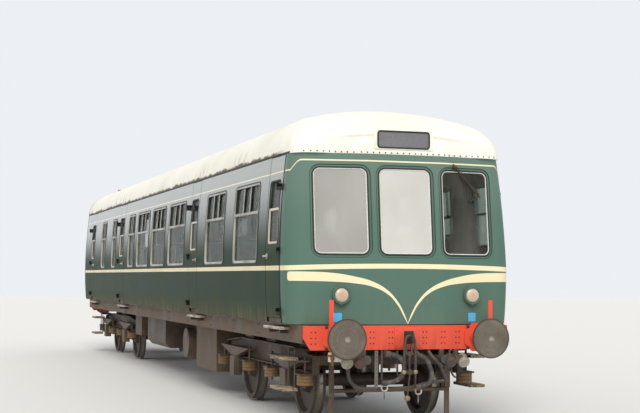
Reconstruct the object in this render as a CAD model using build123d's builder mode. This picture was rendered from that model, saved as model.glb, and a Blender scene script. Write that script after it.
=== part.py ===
from build123d import *
import os
from math import radians, sqrt, tan

os.makedirs("parts", exist_ok=True)

# A railway driving coach with a cab at the front and a gangway at the rear.
# Millimetres. +Z is up, the coach lies along Y with its cab towards -Y, and +X is to the
# right when the cab front is looked at. The origin is on the floor that the flanges stand on.

# Driving sizes of the body. Heights are above the rail.
BODY_LENGTH = 17526
WAIST_HALF_WIDTH = 1397
SILL_HALF_WIDTH = 1366
GUTTER_HALF_WIDTH = 1322
SILL_HEIGHT = 1190
WAIST_HEIGHT = 1850
GUTTER_HEIGHT = 3165
CROWN_HEIGHT = 3772
SHOULDER_RADIUS = 500
WALL = 60
ROOF_WALL = 50
FLANGE_DEPTH = 28
SEAT_GAP = 0.3

# The cab front seen from above, and how far it leans back above the waist.
NOSE_LEAD = 55
NOSE_FLAT_HALF = 460
NOSE_SWEEP = 9.3
NOSE_CORNER_RADIUS = 240
NOSE_RAKE = 137
NOSE_END = 440
DOME_LENGTH = 820
DOME_CORNER = 170
DOME_STATIONS = (100, 150, 230, 380, 600, 902)
DOME_INNER_STATIONS = (190, 240, 400, 620, 952)

# Doors: side opening from one station to the next, hinged at its front (-1) or rear (+1) edge,
# and the lower and upper edge of its window.
DOORS = {
    "cab_door": (500, 1100, -1, 2110, 2870),
    "door_1": (4980, 5580, 1, 2110, 2890),
    "door_2": (11850, 12470, 1, 2110, 2890),
    "door_3": (15950, 16560, 1, 2110, 2890),
}
DOOR_LEAF = 42
DOOR_SKIN = 20
DOOR_GAP = 6
DOOR_FREE_GAP = 10
DOOR_REBATE = 16
DOOR_BOTTOM = 1240
DOOR_WINDOW_MARGIN = 75
STOP_LIP = 12
STOP_REACH = 40
HINGE_HEIGHTS = (1345, 2050, 2800)
HINGE_STAND_OFF = 22
HINGE_BARREL_RADIUS = 14
HINGE_BARREL_HEIGHT = 40
HINGE_PIN_RADIUS = 7
HINGE_PIN_CLEARANCE = 0.5
HINGE_ARM_REACH = 55
HINGE_KNUCKLE_GAP = 1
HANDLE_HEIGHT = 1975
HANDLE_INSET = 70
HANDLE_REACH = 34
HANDLE_BOSS = 36
HANDLE_BAR = 18
HANDLE_LENGTH = 130

# Side windows, from station to station.
SIDE_WINDOWS = (
    (1500, 2750), (3300, 4450), (5950, 7250), (7580, 8800), (9100, 10320),
    (10650, 11330), (12870, 13420), (14320, 14900),
)
WINDOW_BOTTOM = 1900
WINDOW_TOP = 2905
TRANSOM_HEIGHT = 2535
WINDOW_CORNER_RADIUS = 70
FRAME_WIDTH = 28
FRAME_DEPTH = 30
FRAME_PROUD = 4
GLASS = 6
GLASS_INSET = 18

# Windscreens: one on the centre line, and one each side of it.
WINDSCREEN_CENTRE_HALF = 325
WINDSCREEN_SIDE_INNER = 461
WINDSCREEN_SIDE_OUTER = 1100
WINDSCREEN_BOTTOM = 1990
WINDSCREEN_TOP = 3000
WINDSCREEN_RADIUS = 85
RECESS_MARGIN = 35
RECESS_DEPTH = 12

# Rear end: the doorway in the end wall and the gangway round it.
DOORWAY_BOTTOM = 1270
DOORWAY_HEIGHT = 1860
DOORWAY_HALF_WIDTH = 330
DOORWAY_RADIUS = 80
GANGWAY_LENGTH = 400
GANGWAY_WALL = 55
GANGWAY_SWELL = 25
GANGWAY_FOLDS = 6
GANGWAY_PLATE = 25

# Underframe.
FLOOR_THICKNESS = 50
PLATE_INSET = 8
SOLE_PLATE = 14
SOLEBAR_HALF_WIDTH = 1270
SOLEBAR_TOP = SILL_HEIGHT - SOLE_PLATE
SOLEBAR_BOTTOM = 975
SOLEBAR_WEB = 12
SOLEBAR_FLANGE = 80
CROSS_MEMBER_DEPTH = 150
CROSS_MEMBER_WIDTH = 60
CROSS_MEMBER_STATIONS = (1500, 4300, 5600, 6900, 8200, 9500, 10800, 12100, 13300, 16300)
BOLSTER_HALF_LENGTH = 160
BOLSTER_BOTTOM = 945
BEAM_BOTTOM = 900
BEAM_HALF_WIDTH = 1260
BEAM_PLATE = 40
BEAM_LEAD = 60
SOLEBAR_OVERRUN = BEAM_LEAD - BEAM_PLATE
BEAM_CHAMFER_X = 90
BEAM_CHAMFER_Z = 130
BEAM_SLOT = 120

# Buffers.
BUFFER_HALF_SPACING = 870
BUFFER_HEIGHT = 1038
BUFFER_REACH = 460
BUFFER_HEAD_RADIUS = 228.5
BUFFER_HEAD_THICKNESS = 28
BUFFER_HEAD_CROWN = 14
BUFFER_RAM_RADIUS = 65
BUFFER_CASING_RADIUS = 105
BUFFER_CASING_LENGTH = 200
BUFFER_FLANGE = 330
BUFFER_FLANGE_PLATE = 22
UPRIGHT_X = 976
UPRIGHT_WIDTH = 50
UPRIGHT_PLATE = 12
UPRIGHT_TOP = 1470
UPRIGHT_LEAD = 200

BUFFER_LIP = 20

# Drawhook and screw coupling. The hook's outline is reach ahead of the beam and rise.
DRAW_PAD_WIDTH = 230
DRAW_PAD_HEIGHT = 200
DRAW_PAD_PLATE = 16
HOOK_SHANK = 60
HOOK_WIDTH = 42
HOOK_OUTLINE = (
    (0, 35), (90, 35), (120, 62), (150, 70), (172, 50), (165, 30), (150, 38), (138, 20),
    (148, 0), (182, -4), (170, -48), (120, -62), (60, -35), (0, -35),
)
LINK_HALF_SPACING = 38
LINK_RADIUS = 16
LINK_LEAD = 205
LINK_TOP = 1052
LINK_LENGTH = 400
TRUNNION_REACH = 32
TRUNNION_RADIUS = 26
TOMMY_LENGTH = 300

# Things on the roof and nose.
VENTILATOR_COUNT = 10
VENTILATOR_START = 2900
VENTILATOR_PITCH = 1500
VENTILATOR_X = 350
VENTILATOR_WIDTH = 230
VENTILATOR_LENGTH = 330
VENTILATOR_RISE = 70
LAMP_X = 810
LAMP_HEIGHT = 1523
LAMP_RADIUS = 100
LAMP_LENS_RADIUS = 77
LAMP_LEAD = 65
LAMP_LENS_PROUD = 12
BLIND_FACE = 92
BLIND_BOTTOM = 3225
BLIND_TOP = 3456
BLIND_HALF_WIDTH = 372
BLIND_RADIUS = 25
BLIND_DEPTH = 400
WIPER_PIVOT = (640, 3040)
WIPER_TIP = (975, 2690)
WIPER_STAND_OFF = 40
WIPER_BOSS_RADIUS = 22
WIPER_ARM_RADIUS = 7
FOOTBOARD_HEIGHT = 1145
FOOTBOARD_REACH = 130
FOOTBOARD_PLANK = 28
FOOTBOARD_OVERHANG = 40
FOOTBOARD_BRACKET = 24

# Bogies and wheels. Stations along a bogie are measured from its centre.
BOGIE_CENTRES = 12192
FRONT_BOGIE_STATION = 2667
WHEELBASE = 2591
WHEEL_RADIUS = 457
BACK_TO_BACK = 1360
TYRE_WIDTH = 135
FLANGE_WIDTH = 32
TREAD_TAPER = 5
RIM_THICKNESS = 65
WHEEL_WEB = 28
HUB_RADIUS = 130
HUB_LENGTH = 180
AXLE_RADIUS = 80
JOURNAL_RADIUS = 60
JOURNAL_CLEARANCE = 0.5
JOURNAL_START = 850
JOURNAL_END = 1070
PIVOT_RADIUS = 70
PIVOT_CLEARANCE = 0.5
PIVOT_BOTTOM = 800
FRAME_INNER_X = 880
FRAME_OUTER_X = 960
FRAME_WEB = 24
FRAME_RIM = 18
FRAME_TOP = 870
FRAME_BOTTOM = 590
FRAME_END_TOP = 800
FRAME_HALF_LENGTH = 2130
TRANSOM_HALF_LENGTH = 230
TRANSOM_TOP = 925
TRANSOM_BOTTOM = 620
STRETCHER_WIDTH = 90
STRETCHER_BOTTOM = 690
HORN_WIDTH = 40
HORN_BOTTOM = 400
HORN_CLEARANCE = 2
HORN_LAP = 10
POT_BRACKET = 20
POT_BRACKET_LENGTH = 200
SPRING_X = 1020
SPRING_WIDTH = 90
SPRING_HALF_SPAN = 720
SPRING_TOP = 745
SPRING_BOTTOM = 605
SPRING_LEAVES = 7
SPRING_SHORTEST = 130
HANGER_RADIUS = 15
HANGER_BOTTOM = 410
POT_RADIUS = 92
POT_TOP = FRAME_BOTTOM - POT_BRACKET
POT_HEIGHT = 120
AXLEBOX_WIDTH = 250
AXLEBOX_INNER = 972
AXLEBOX_OUTER = 1092
AXLEBOX_BOTTOM = 340
BOGIE_STEP_HEIGHTS = (780, 420)
BOGIE_STEP_STATION = -1747
BOGIE_STEP_LENGTH = 520
BOGIE_STEP_INNER = 1112
BOGIE_STEP_OUTER = 1300
BOGIE_STEP_PLANK = 32
BOGIE_STRAP_WIDTH = 40
BOGIE_STRAP_PLATE = 12
GUARD_IRON_X = 735
GUARD_IRON_BOTTOM = 90
GUARD_IRON_WIDTH = 60
GUARD_IRON_PLATE = 22
GUARD_TUBE_HEIGHT = 390
GUARD_TUBE_RADIUS = 24

# Underfloor blocks that hang from the cross members: side (-1 or +1), inner and outer x,
# start and end station, and bottom height.
CROSS_MEMBER_BOTTOM = SOLEBAR_TOP - CROSS_MEMBER_DEPTH
ENGINES = (
    (1, 20, 1020, 6800, 8600, 430),
    (-1, 20, 1020, 9250, 11050, 430),
)
UNDERFLOOR_BOXES = (
    (-1, 520, 1060, 5050, 6450, 300),
    (1, 480, 1060, 5050, 6450, 420),
    (1, 520, 1060, 9200, 10100, 470),
    (-1, 560, 1060, 11500, 12200, 560),
    (1, 620, 1060, 11500, 12200, 560),
)
TANK_STATION = 7000
TANK_HEIGHT = 645
TANK_RADIUS = 240
TANK_INNER = 560
TANK_OUTER = 1120
TANK_HANGER = 60
EXHAUST_X = 560
EXHAUST_RADIUS = 50
EXHAUST_STAND_OFF = 130
EXHAUST_TOP = 3830
EXHAUST_BOTTOM = 800
EXHAUST_BEND = 120
EXHAUST_RUN = 300
EXHAUST_BRACKETS = (1500, 2600)
ENGINE_CORNER = 90

# Front pipework below the beam: x of each jumper head, and the two hoses' routes (x, lead, z).
JUMPER_XS = (-700, -540, 420, 600)
JUMPER_RADIUS = 52
JUMPER_LENGTH = 150
JUMPER_HEIGHT = 790
HOSE_RADIUS = 27
HOSE_COLLAR = 10
HOSE_FITTING = 60
HOSE_STRAP = 40
HOSE_LEFT = (
    (-240, 120, 850), (-150, 126, 838), (-82, 132, 765), (-70, 136, 670),
    (-112, 136, 585), (-195, 132, 540), (-285, 128, 530),
)
HOSE_RIGHT = (
    (90, 120, 850), (175, 126, 820), (228, 132, 745), (262, 136, 660),
    (268, 136, 570), (215, 132, 500), (130, 128, 480),
)

# Inside: benches (station of the back's rear face, and the way it faces), screens and desk.
SEATS = (
    (1400, 1), (3010, -1), (3070, 1), (4730, -1), (5850, 1), (7390, -1), (7450, 1), (8930, -1),
    (8990, 1), (10470, -1), (10530, 1), (11660, -1), (12640, 1), (14130, -1), (14190, 1), (15640, -1),
)
SEAT_INNER = 260
SEAT_HEIGHT = 430
SEAT_DEPTH = 470
SEAT_BACK = 90
SEAT_BACK_HEIGHT = 1050
SEAT_PLINTH = 120
SCREENS = (1300, 4760, 5780, 11700, 15680)
SCREEN_THICKNESS = 30
SCREEN_DOOR_HALF_WIDTH = 280
SCREEN_DOOR_TOP = 3050
SCREEN_WINDOW = (420, 1120, 2050, 2900)
DESK_HEIGHT = 1780
DESK_DEPTH = 330
DESK_HALF_WIDTH = 1180


def up(height):
    """Height above the floor of a height above the rail."""
    return height + FLANGE_DEPTH


def along(station):
    """Y of a distance behind the front datum."""
    return station - BODY_LENGTH / 2


# The body side is two tangent arcs that meet, upright, at the waist.
LOWER_SIDE_RADIUS = (
    (WAIST_HEIGHT - SILL_HEIGHT) ** 2 + (WAIST_HALF_WIDTH - SILL_HALF_WIDTH) ** 2
) / (2 * (WAIST_HALF_WIDTH - SILL_HALF_WIDTH))
UPPER_SIDE_RADIUS = (
    (GUTTER_HEIGHT - WAIST_HEIGHT) ** 2 + (WAIST_HALF_WIDTH - GUTTER_HALF_WIDTH) ** 2
) / (2 * (WAIST_HALF_WIDTH - GUTTER_HALF_WIDTH))


def side_x(height, depth=0):
    """Half-width of the body at a height, `depth` inside its skin."""
    radius = LOWER_SIDE_RADIUS if height < WAIST_HEIGHT else UPPER_SIDE_RADIUS
    drop = height - WAIST_HEIGHT
    return WAIST_HALF_WIDTH - radius + sqrt((radius - depth) ** 2 - drop ** 2)


def side_arc(low, high, depth, sign):
    """One arc of the body side between two heights on one side of the waist."""
    middle = (low + high) / 2
    return ThreePointArc(
        (sign * side_x(low, depth), up(low)),
        (sign * side_x(middle, depth), up(middle)),
        (sign * side_x(high, depth), up(high)),
    )


def side_arcs(low, high, depth, sign=-1):
    """The body side's arcs from one height to another, with a joint at the waist."""
    if low < WAIST_HEIGHT < high:
        side_arc(low, WAIST_HEIGHT, depth, sign)
        side_arc(WAIST_HEIGHT, high, depth, sign)
    else:
        side_arc(low, high, depth, sign)


def side_band(outer, inner, low, high, start, end, mode=Mode.ADD):
    """Extrude a strip of the -X side wall, between two depths, from station to station."""
    with BuildSketch(Plane.XZ.offset(-along(end))) as strip:
        with BuildLine():
            side_arcs(low, high, outer)
            Line((-side_x(high, outer), up(high)), (-side_x(high, inner), up(high)))
            side_arcs(low, high, inner)
            Line((-side_x(low, outer), up(low)), (-side_x(low, inner), up(low)))
        make_face()
    extrude(strip.sketch, amount=end - start, mode=mode)


def save(part, label):
    """Label a finished piece and write its STEP file."""
    part.label = label
    export_step(part, f"parts/{label}.step")


def both_sides(name, left_part):
    """Write the -X piece and its mirror image on +X."""
    save(left_part, f"{name}_left")
    save(mirror(left_part, about=Plane.YZ), f"{name}_right")


# Body core: the whole outline of the body below the gutter, used to seat what stands on it.
with BuildPart() as body_core:
    with BuildSketch(Plane.XZ.offset(-along(BODY_LENGTH))):
        with BuildLine():
            side_arcs(SILL_HEIGHT, GUTTER_HEIGHT, 0, -1)
            side_arcs(SILL_HEIGHT, GUTTER_HEIGHT, 0, 1)
            Line((-SILL_HALF_WIDTH, up(SILL_HEIGHT)), (SILL_HALF_WIDTH, up(SILL_HEIGHT)))
            Line((-GUTTER_HALF_WIDTH, up(GUTTER_HEIGHT)), (GUTTER_HALF_WIDTH, up(GUTTER_HEIGHT)))
        make_face()
    extrude(amount=BODY_LENGTH - NOSE_END)

# Body sides: a post ahead of the cab door, then one panel between each two doors.
DOOR_SPANS = sorted(span[:2] for span in DOORS.values())
PANEL_STARTS = [NOSE_END] + [end for start, end in DOOR_SPANS]
PANEL_ENDS = [start for start, end in DOOR_SPANS] + [BODY_LENGTH - WALL]
with BuildPart() as body_side:
    for start, end in zip(PANEL_STARTS, PANEL_ENDS):
        side_band(0, WALL, SILL_HEIGHT, GUTTER_HEIGHT, start, end)
    for start, end, hinge, low, high in DOORS.values():
        side_band(WALL - STOP_LIP, WALL, DOOR_BOTTOM, GUTTER_HEIGHT, start, start + STOP_REACH)
        side_band(WALL - STOP_LIP, WALL, DOOR_BOTTOM, GUTTER_HEIGHT, end - STOP_REACH, end)
    with BuildSketch(Plane.YZ.offset(-WAIST_HALF_WIDTH - WALL)):
        for start, end in SIDE_WINDOWS:
            with Locations((along((start + end) / 2), up((WINDOW_BOTTOM + WINDOW_TOP) / 2))):
                RectangleRounded(end - start, WINDOW_TOP - WINDOW_BOTTOM, WINDOW_CORNER_RADIUS)
    extrude(amount=4 * WALL, mode=Mode.SUBTRACT)
both_sides("body_side", body_side.part)

# Light frames round the side windows, each with a transom below its sliding lights.
with BuildPart() as window_frames:
    for start, end in SIDE_WINDOWS:
        side_band(-FRAME_PROUD, FRAME_DEPTH, WINDOW_BOTTOM - FRAME_WIDTH, WINDOW_TOP + FRAME_WIDTH,
                  start - FRAME_WIDTH, end + FRAME_WIDTH)
    with BuildSketch(Plane.YZ.offset(-WAIST_HALF_WIDTH - WALL)):
        for start, end in SIDE_WINDOWS:
            with Locations((along((start + end) / 2), up((WINDOW_BOTTOM + WINDOW_TOP) / 2))):
                RectangleRounded(end - start, WINDOW_TOP - WINDOW_BOTTOM, WINDOW_CORNER_RADIUS)
    extrude(amount=4 * WALL, mode=Mode.INTERSECT)
    with BuildSketch(Plane.YZ.offset(-WAIST_HALF_WIDTH - WALL)):
        for start, end in SIDE_WINDOWS:
            for low, high in ((WINDOW_BOTTOM, TRANSOM_HEIGHT), (TRANSOM_HEIGHT, WINDOW_TOP)):
                low_edge = low + (FRAME_WIDTH if low == WINDOW_BOTTOM else FRAME_WIDTH / 2)
                high_edge = high - (FRAME_WIDTH if high == WINDOW_TOP else FRAME_WIDTH / 2)
                with Locations((along((start + end) / 2), up((low_edge + high_edge) / 2))):
                    RectangleRounded(end - start - 2 * FRAME_WIDTH, high_edge - low_edge,
                                     WINDOW_CORNER_RADIUS - FRAME_WIDTH)
    extrude(amount=4 * WALL, mode=Mode.SUBTRACT)
    mirror(about=Plane.YZ)
save(window_frames.part, "window_frames")

# Side glass: a lower pane and an upper pair of lights in each frame.
with BuildPart() as side_glazing:
    for start, end in SIDE_WINDOWS:
        side_band(GLASS_INSET, GLASS_INSET + GLASS, WINDOW_BOTTOM, WINDOW_TOP, start, end)
    with BuildSketch(Plane.YZ.offset(-WAIST_HALF_WIDTH - WALL)):
        for start, end in SIDE_WINDOWS:
            for low, high in ((WINDOW_BOTTOM, TRANSOM_HEIGHT), (TRANSOM_HEIGHT, WINDOW_TOP)):
                low_edge = low + (FRAME_WIDTH if low == WINDOW_BOTTOM else FRAME_WIDTH / 2)
                high_edge = high - (FRAME_WIDTH if high == WINDOW_TOP else FRAME_WIDTH / 2)
                with Locations((along((start + end) / 2), up((low_edge + high_edge) / 2))):
                    RectangleRounded(end - start - 2 * FRAME_WIDTH, high_edge - low_edge,
                                     WINDOW_CORNER_RADIUS - FRAME_WIDTH)
    extrude(amount=4 * WALL, mode=Mode.INTERSECT)
    mirror(about=Plane.YZ)
save(side_glazing.part, "side_glazing")


# Cab front: its outline from above changes width and leans back with height.
def nose_setback(height):
    """How far the flat of the nose lies behind the front datum at a height."""
    lean = max(0, height - WAIST_HEIGHT) / (GUTTER_HEIGHT - WAIST_HEIGHT)
    return NOSE_RAKE * lean - NOSE_LEAD


def nose_outline(height, depth, end=NOSE_END):
    """Draw the nose from above at a height, `depth` inside its skin, back to a station."""
    sweep = radians(NOSE_SWEEP)
    half = side_x(height, depth)
    flat = NOSE_FLAT_HALF - depth * tan(sweep / 2)
    front = along(nose_setback(height) + depth)
    corner = front + (half - flat) * tan(sweep)
    with BuildSketch(Plane.XY.offset(up(height))) as outline:
        with BuildLine():
            FilletPolyline(
                (-half, along(end)), (-half, corner), (-flat, front), (0, front),
                radius=(NOSE_CORNER_RADIUS - depth, 1))
            FilletPolyline(
                (half, along(end)), (half, corner), (flat, front), (0, front),
                radius=(NOSE_CORNER_RADIUS - depth, 1))
            Line((-half, along(end)), (half, along(end)))
        make_face()
    return outline.sketch.face()


def nose_solid(depth):
    """The nose as a solid block, `depth` inside its skin."""
    with BuildPart() as block:
        for low, high in ((SILL_HEIGHT, WAIST_HEIGHT), (WAIST_HEIGHT, GUTTER_HEIGHT)):
            heights = (low, (low + high) / 2, high)
            loft([nose_outline(height, depth) for height in heights])
    return block.part


def windscreen_sketch(margin, radius):
    """The three windscreens seen from the front, grown by a margin."""
    middle = up((WINDSCREEN_BOTTOM + WINDSCREEN_TOP) / 2)
    tall = WINDSCREEN_TOP - WINDSCREEN_BOTTOM + 2 * margin
    side_middle = (WINDSCREEN_SIDE_INNER + WINDSCREEN_SIDE_OUTER) / 2
    side_width = WINDSCREEN_SIDE_OUTER - WINDSCREEN_SIDE_INNER + 2 * margin
    with BuildSketch(Plane.XZ.offset(-along(NOSE_END))) as glass:
        with Locations((0, middle)):
            RectangleRounded(2 * (WINDSCREEN_CENTRE_HALF + margin), tall, radius)
        with Locations((-side_middle, middle), (side_middle, middle)):
            RectangleRounded(side_width, tall, radius)
    return glass.sketch


nose_skin = nose_solid(0)
nose_recess = nose_solid(RECESS_DEPTH)
with BuildPart() as recess_layer:
    add(nose_skin)
    add(nose_recess, mode=Mode.SUBTRACT)
    extrude(windscreen_sketch(RECESS_MARGIN, WINDSCREEN_RADIUS + RECESS_MARGIN),
            amount=2 * NOSE_END, mode=Mode.INTERSECT)

with BuildPart() as cab_front:
    add(nose_skin)
    add(nose_solid(WALL), mode=Mode.SUBTRACT)
    add(recess_layer.part, mode=Mode.SUBTRACT)
    extrude(windscreen_sketch(0, WINDSCREEN_RADIUS), amount=2 * NOSE_END, mode=Mode.SUBTRACT)
save(cab_front.part, "cab_front")

with BuildPart() as windscreens:
    add(nose_solid(RECESS_DEPTH + GLASS))
    add(nose_solid(RECESS_DEPTH + 2 * GLASS), mode=Mode.SUBTRACT)
    extrude(windscreen_sketch(0, WINDSCREEN_RADIUS), amount=2 * NOSE_END, mode=Mode.INTERSECT)
save(windscreens.part, "windscreens")


# Roof: shoulder arcs that start upright at the gutter, joined by one crown arc.
def roof_face(half, rise, shoulder, station):
    """A roof section with its flat base on the gutter line, at a station."""
    reach = half - shoulder
    crown = (reach ** 2 + rise ** 2 - shoulder ** 2) / (2 * (rise - shoulder))
    lean = reach / (crown - shoulder)
    base = up(GUTTER_HEIGHT)
    tip = (reach + shoulder * lean, base + shoulder * sqrt(1 - lean ** 2))
    with BuildSketch(Plane.XZ.offset(-along(station))) as section:
        with BuildLine():
            TangentArc((half, base), tip, tangent=(0, 1))
            TangentArc((-half, base), (-tip[0], tip[1]), tangent=(0, 1))
            ThreePointArc((-tip[0], tip[1]), (0, base + rise), tip)
            Line((-half, base), (half, base))
        make_face()
    return section.sketch.face()


def dome_face(station, depth=0):
    """Section of the domed roof end at a station, `depth` inside its skin."""
    front = nose_setback(GUTTER_HEIGHT)
    run = station - depth - front
    full_rise = CROWN_HEIGHT - GUTTER_HEIGHT
    rise = full_rise * sqrt(1 - max(0, 1 - run / DOME_LENGTH) ** 2)
    swept = NOSE_FLAT_HALF + run / tan(radians(NOSE_SWEEP))
    rounded = max(0, 1 - run / (2 * DOME_CORNER)) ** 2 * DOME_CORNER
    half = min(GUTTER_HALF_WIDTH - rounded, swept)
    shoulder = SHOULDER_RADIUS * rise / full_rise
    return roof_face(half - depth, rise - depth, shoulder * (rise - depth) / rise, station)


def roof_solid(depth, stations):
    """The roof as a solid, `depth` inside its skin."""
    with BuildPart() as block:
        loft([dome_face(station, depth) for station in stations])
        extrude(dome_face(BODY_LENGTH - WALL, depth), amount=BODY_LENGTH - WALL - stations[-1])
    return block.part


with BuildPart() as roof:
    add(roof_solid(0, DOME_STATIONS))
    add(roof_solid(ROOF_WALL, DOME_INNER_STATIONS), mode=Mode.SUBTRACT)
save(roof.part, "roof")

# End wall: the whole body section as a plate, with the gangway's doorway cut through it.
with BuildPart() as end_wall:
    with BuildSketch(Plane.XZ.offset(-along(BODY_LENGTH))):
        with BuildLine():
            side_arcs(SILL_HEIGHT, GUTTER_HEIGHT, 0, -1)
            side_arcs(SILL_HEIGHT, GUTTER_HEIGHT, 0, 1)
            Line((-SILL_HALF_WIDTH, up(SILL_HEIGHT)), (SILL_HALF_WIDTH, up(SILL_HEIGHT)))
            Line((-GUTTER_HALF_WIDTH, up(GUTTER_HEIGHT)), (GUTTER_HALF_WIDTH, up(GUTTER_HEIGHT)))
        make_face()
        add(Plane.XZ.offset(-along(BODY_LENGTH)).to_local_coords(dome_face(BODY_LENGTH)))
        with Locations((0, up(DOORWAY_BOTTOM + DOORWAY_HEIGHT / 2))):
            RectangleRounded(2 * DOORWAY_HALF_WIDTH, DOORWAY_HEIGHT, DOORWAY_RADIUS,
                             mode=Mode.SUBTRACT)
    extrude(amount=WALL)
save(end_wall.part, "end_wall")

# Gangway: a concertina of folds from the end wall to a flat face plate.
with BuildPart() as gangway:
    fold = (GANGWAY_LENGTH - GANGWAY_PLATE) / (2 * GANGWAY_FOLDS)
    for number in range(2 * GANGWAY_FOLDS + 1):
        plate = number == 2 * GANGWAY_FOLDS
        swell = 0 if number % 2 else GANGWAY_SWELL
        end = BODY_LENGTH + (GANGWAY_LENGTH if plate else fold * (number + 1))
        with BuildSketch(Plane.XZ.offset(-along(end))):
            with Locations((0, up(DOORWAY_BOTTOM + DOORWAY_HEIGHT / 2))):
                RectangleRounded(2 * (DOORWAY_HALF_WIDTH + GANGWAY_WALL + swell),
                                 DOORWAY_HEIGHT + 2 * (GANGWAY_WALL + swell),
                                 DOORWAY_RADIUS + GANGWAY_WALL)
                RectangleRounded(2 * DOORWAY_HALF_WIDTH, DOORWAY_HEIGHT, DOORWAY_RADIUS,
                                 mode=Mode.SUBTRACT)
        extrude(amount=GANGWAY_PLATE if plate else fold)
save(gangway.part, "gangway")

# Floor: the deck inside the walls, on a thin plate that carries them.
with BuildPart() as floor:
    with BuildSketch(Plane.XY.offset(up(SILL_HEIGHT - SOLE_PLATE))):
        with Locations((0, along((NOSE_END + BODY_LENGTH) / 2))):
            Rectangle(2 * (SILL_HALF_WIDTH - PLATE_INSET), BODY_LENGTH - NOSE_END)
        add(nose_outline(SILL_HEIGHT, PLATE_INSET).moved(Location((0, 0, -up(SILL_HEIGHT)))))
    extrude(amount=SOLE_PLATE)
    with BuildSketch(Plane.XY.offset(up(SILL_HEIGHT))):
        with Locations((0, along((NOSE_END + BODY_LENGTH - WALL) / 2))):
            Rectangle(2 * (side_x(SILL_HEIGHT, WALL) - SEAT_GAP), BODY_LENGTH - WALL - NOSE_END)
        add(nose_outline(SILL_HEIGHT, WALL + SEAT_GAP).moved(Location((0, 0, -up(SILL_HEIGHT)))))
    extrude(amount=FLOOR_THICKNESS)
    for start, end, hinge, low, high in DOORS.values():
        side_band(STOP_REACH / 2, WALL - SEAT_GAP, SILL_HEIGHT, DOOR_BOTTOM, start, end)
    mirror(about=Plane.YZ)
save(floor.part, "floor")

# Solebars: two channels with their backs outward, under the floor plate.
with BuildPart() as solebars:
    with BuildSketch(Plane.XZ.offset(-along(BODY_LENGTH + SOLEBAR_OVERRUN))):
        with BuildLine():
            Polyline(
                (-SOLEBAR_HALF_WIDTH, up(SOLEBAR_BOTTOM)),
                (-SOLEBAR_HALF_WIDTH + SOLEBAR_FLANGE, up(SOLEBAR_BOTTOM)),
                (-SOLEBAR_HALF_WIDTH + SOLEBAR_FLANGE, up(SOLEBAR_BOTTOM + SOLEBAR_WEB)),
                (-SOLEBAR_HALF_WIDTH + SOLEBAR_WEB, up(SOLEBAR_BOTTOM + SOLEBAR_WEB)),
                (-SOLEBAR_HALF_WIDTH + SOLEBAR_WEB, up(SOLEBAR_TOP - SOLEBAR_WEB)),
                (-SOLEBAR_HALF_WIDTH + SOLEBAR_FLANGE, up(SOLEBAR_TOP - SOLEBAR_WEB)),
                (-SOLEBAR_HALF_WIDTH + SOLEBAR_FLANGE, up(SOLEBAR_TOP)),
                (-SOLEBAR_HALF_WIDTH, up(SOLEBAR_TOP)),
                close=True)
        make_face()
    extrude(amount=BODY_LENGTH + 2 * SOLEBAR_OVERRUN)
    mirror(about=Plane.YZ)
save(solebars.part, "solebars")

# Cross members between the solebar webs, and the two deeper bolsters with their pivots.
BOGIE_STATIONS = (FRONT_BOGIE_STATION, FRONT_BOGIE_STATION + BOGIE_CENTRES)
MEMBER_HALF_LENGTH = SOLEBAR_HALF_WIDTH - SOLEBAR_FLANGE
with BuildPart() as cross_members:
    with BuildSketch(Plane.XY.offset(up(SOLEBAR_TOP))):
        for station in CROSS_MEMBER_STATIONS:
            with Locations((0, along(station))):
                Rectangle(2 * MEMBER_HALF_LENGTH, CROSS_MEMBER_WIDTH)
    extrude(amount=-CROSS_MEMBER_DEPTH)
    with BuildSketch(Plane.XY.offset(up(SOLEBAR_TOP))):
        for station in BOGIE_STATIONS:
            with Locations((0, along(station))):
                Rectangle(2 * MEMBER_HALF_LENGTH, 2 * BOLSTER_HALF_LENGTH)
    extrude(amount=BOLSTER_BOTTOM - SOLEBAR_TOP)
    with BuildSketch(Plane.XY.offset(up(BOLSTER_BOTTOM))):
        for station in BOGIE_STATIONS:
            with Locations((0, along(station))):
                Circle(PIVOT_RADIUS)
    extrude(amount=PIVOT_BOTTOM - BOLSTER_BOTTOM)
save(cross_members.part, "cross_members")


# Buffer beams: plates with cut lower corners across both ends, slotted for the drawhook.
with BuildPart() as buffer_beams:
    for back in (BEAM_PLATE - BEAM_LEAD, BODY_LENGTH + BEAM_LEAD):
        with BuildSketch(Plane.XZ.offset(-along(back))):
            with BuildLine():
                Polyline(
                    (-BEAM_HALF_WIDTH, up(SOLEBAR_TOP)), (-BEAM_HALF_WIDTH, up(BEAM_BOTTOM + BEAM_CHAMFER_Z)),
                    (-BEAM_HALF_WIDTH + BEAM_CHAMFER_X, up(BEAM_BOTTOM)),
                    (BEAM_HALF_WIDTH - BEAM_CHAMFER_X, up(BEAM_BOTTOM)),
                    (BEAM_HALF_WIDTH, up(BEAM_BOTTOM + BEAM_CHAMFER_Z)), (BEAM_HALF_WIDTH, up(SOLEBAR_TOP)),
                    close=True)
            make_face()
            with Locations((0, up(BUFFER_HEIGHT))):
                Rectangle(BEAM_SLOT, BEAM_SLOT, mode=Mode.SUBTRACT)
        extrude(amount=BEAM_PLATE)
save(buffer_beams.part, "buffer_beams")

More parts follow.
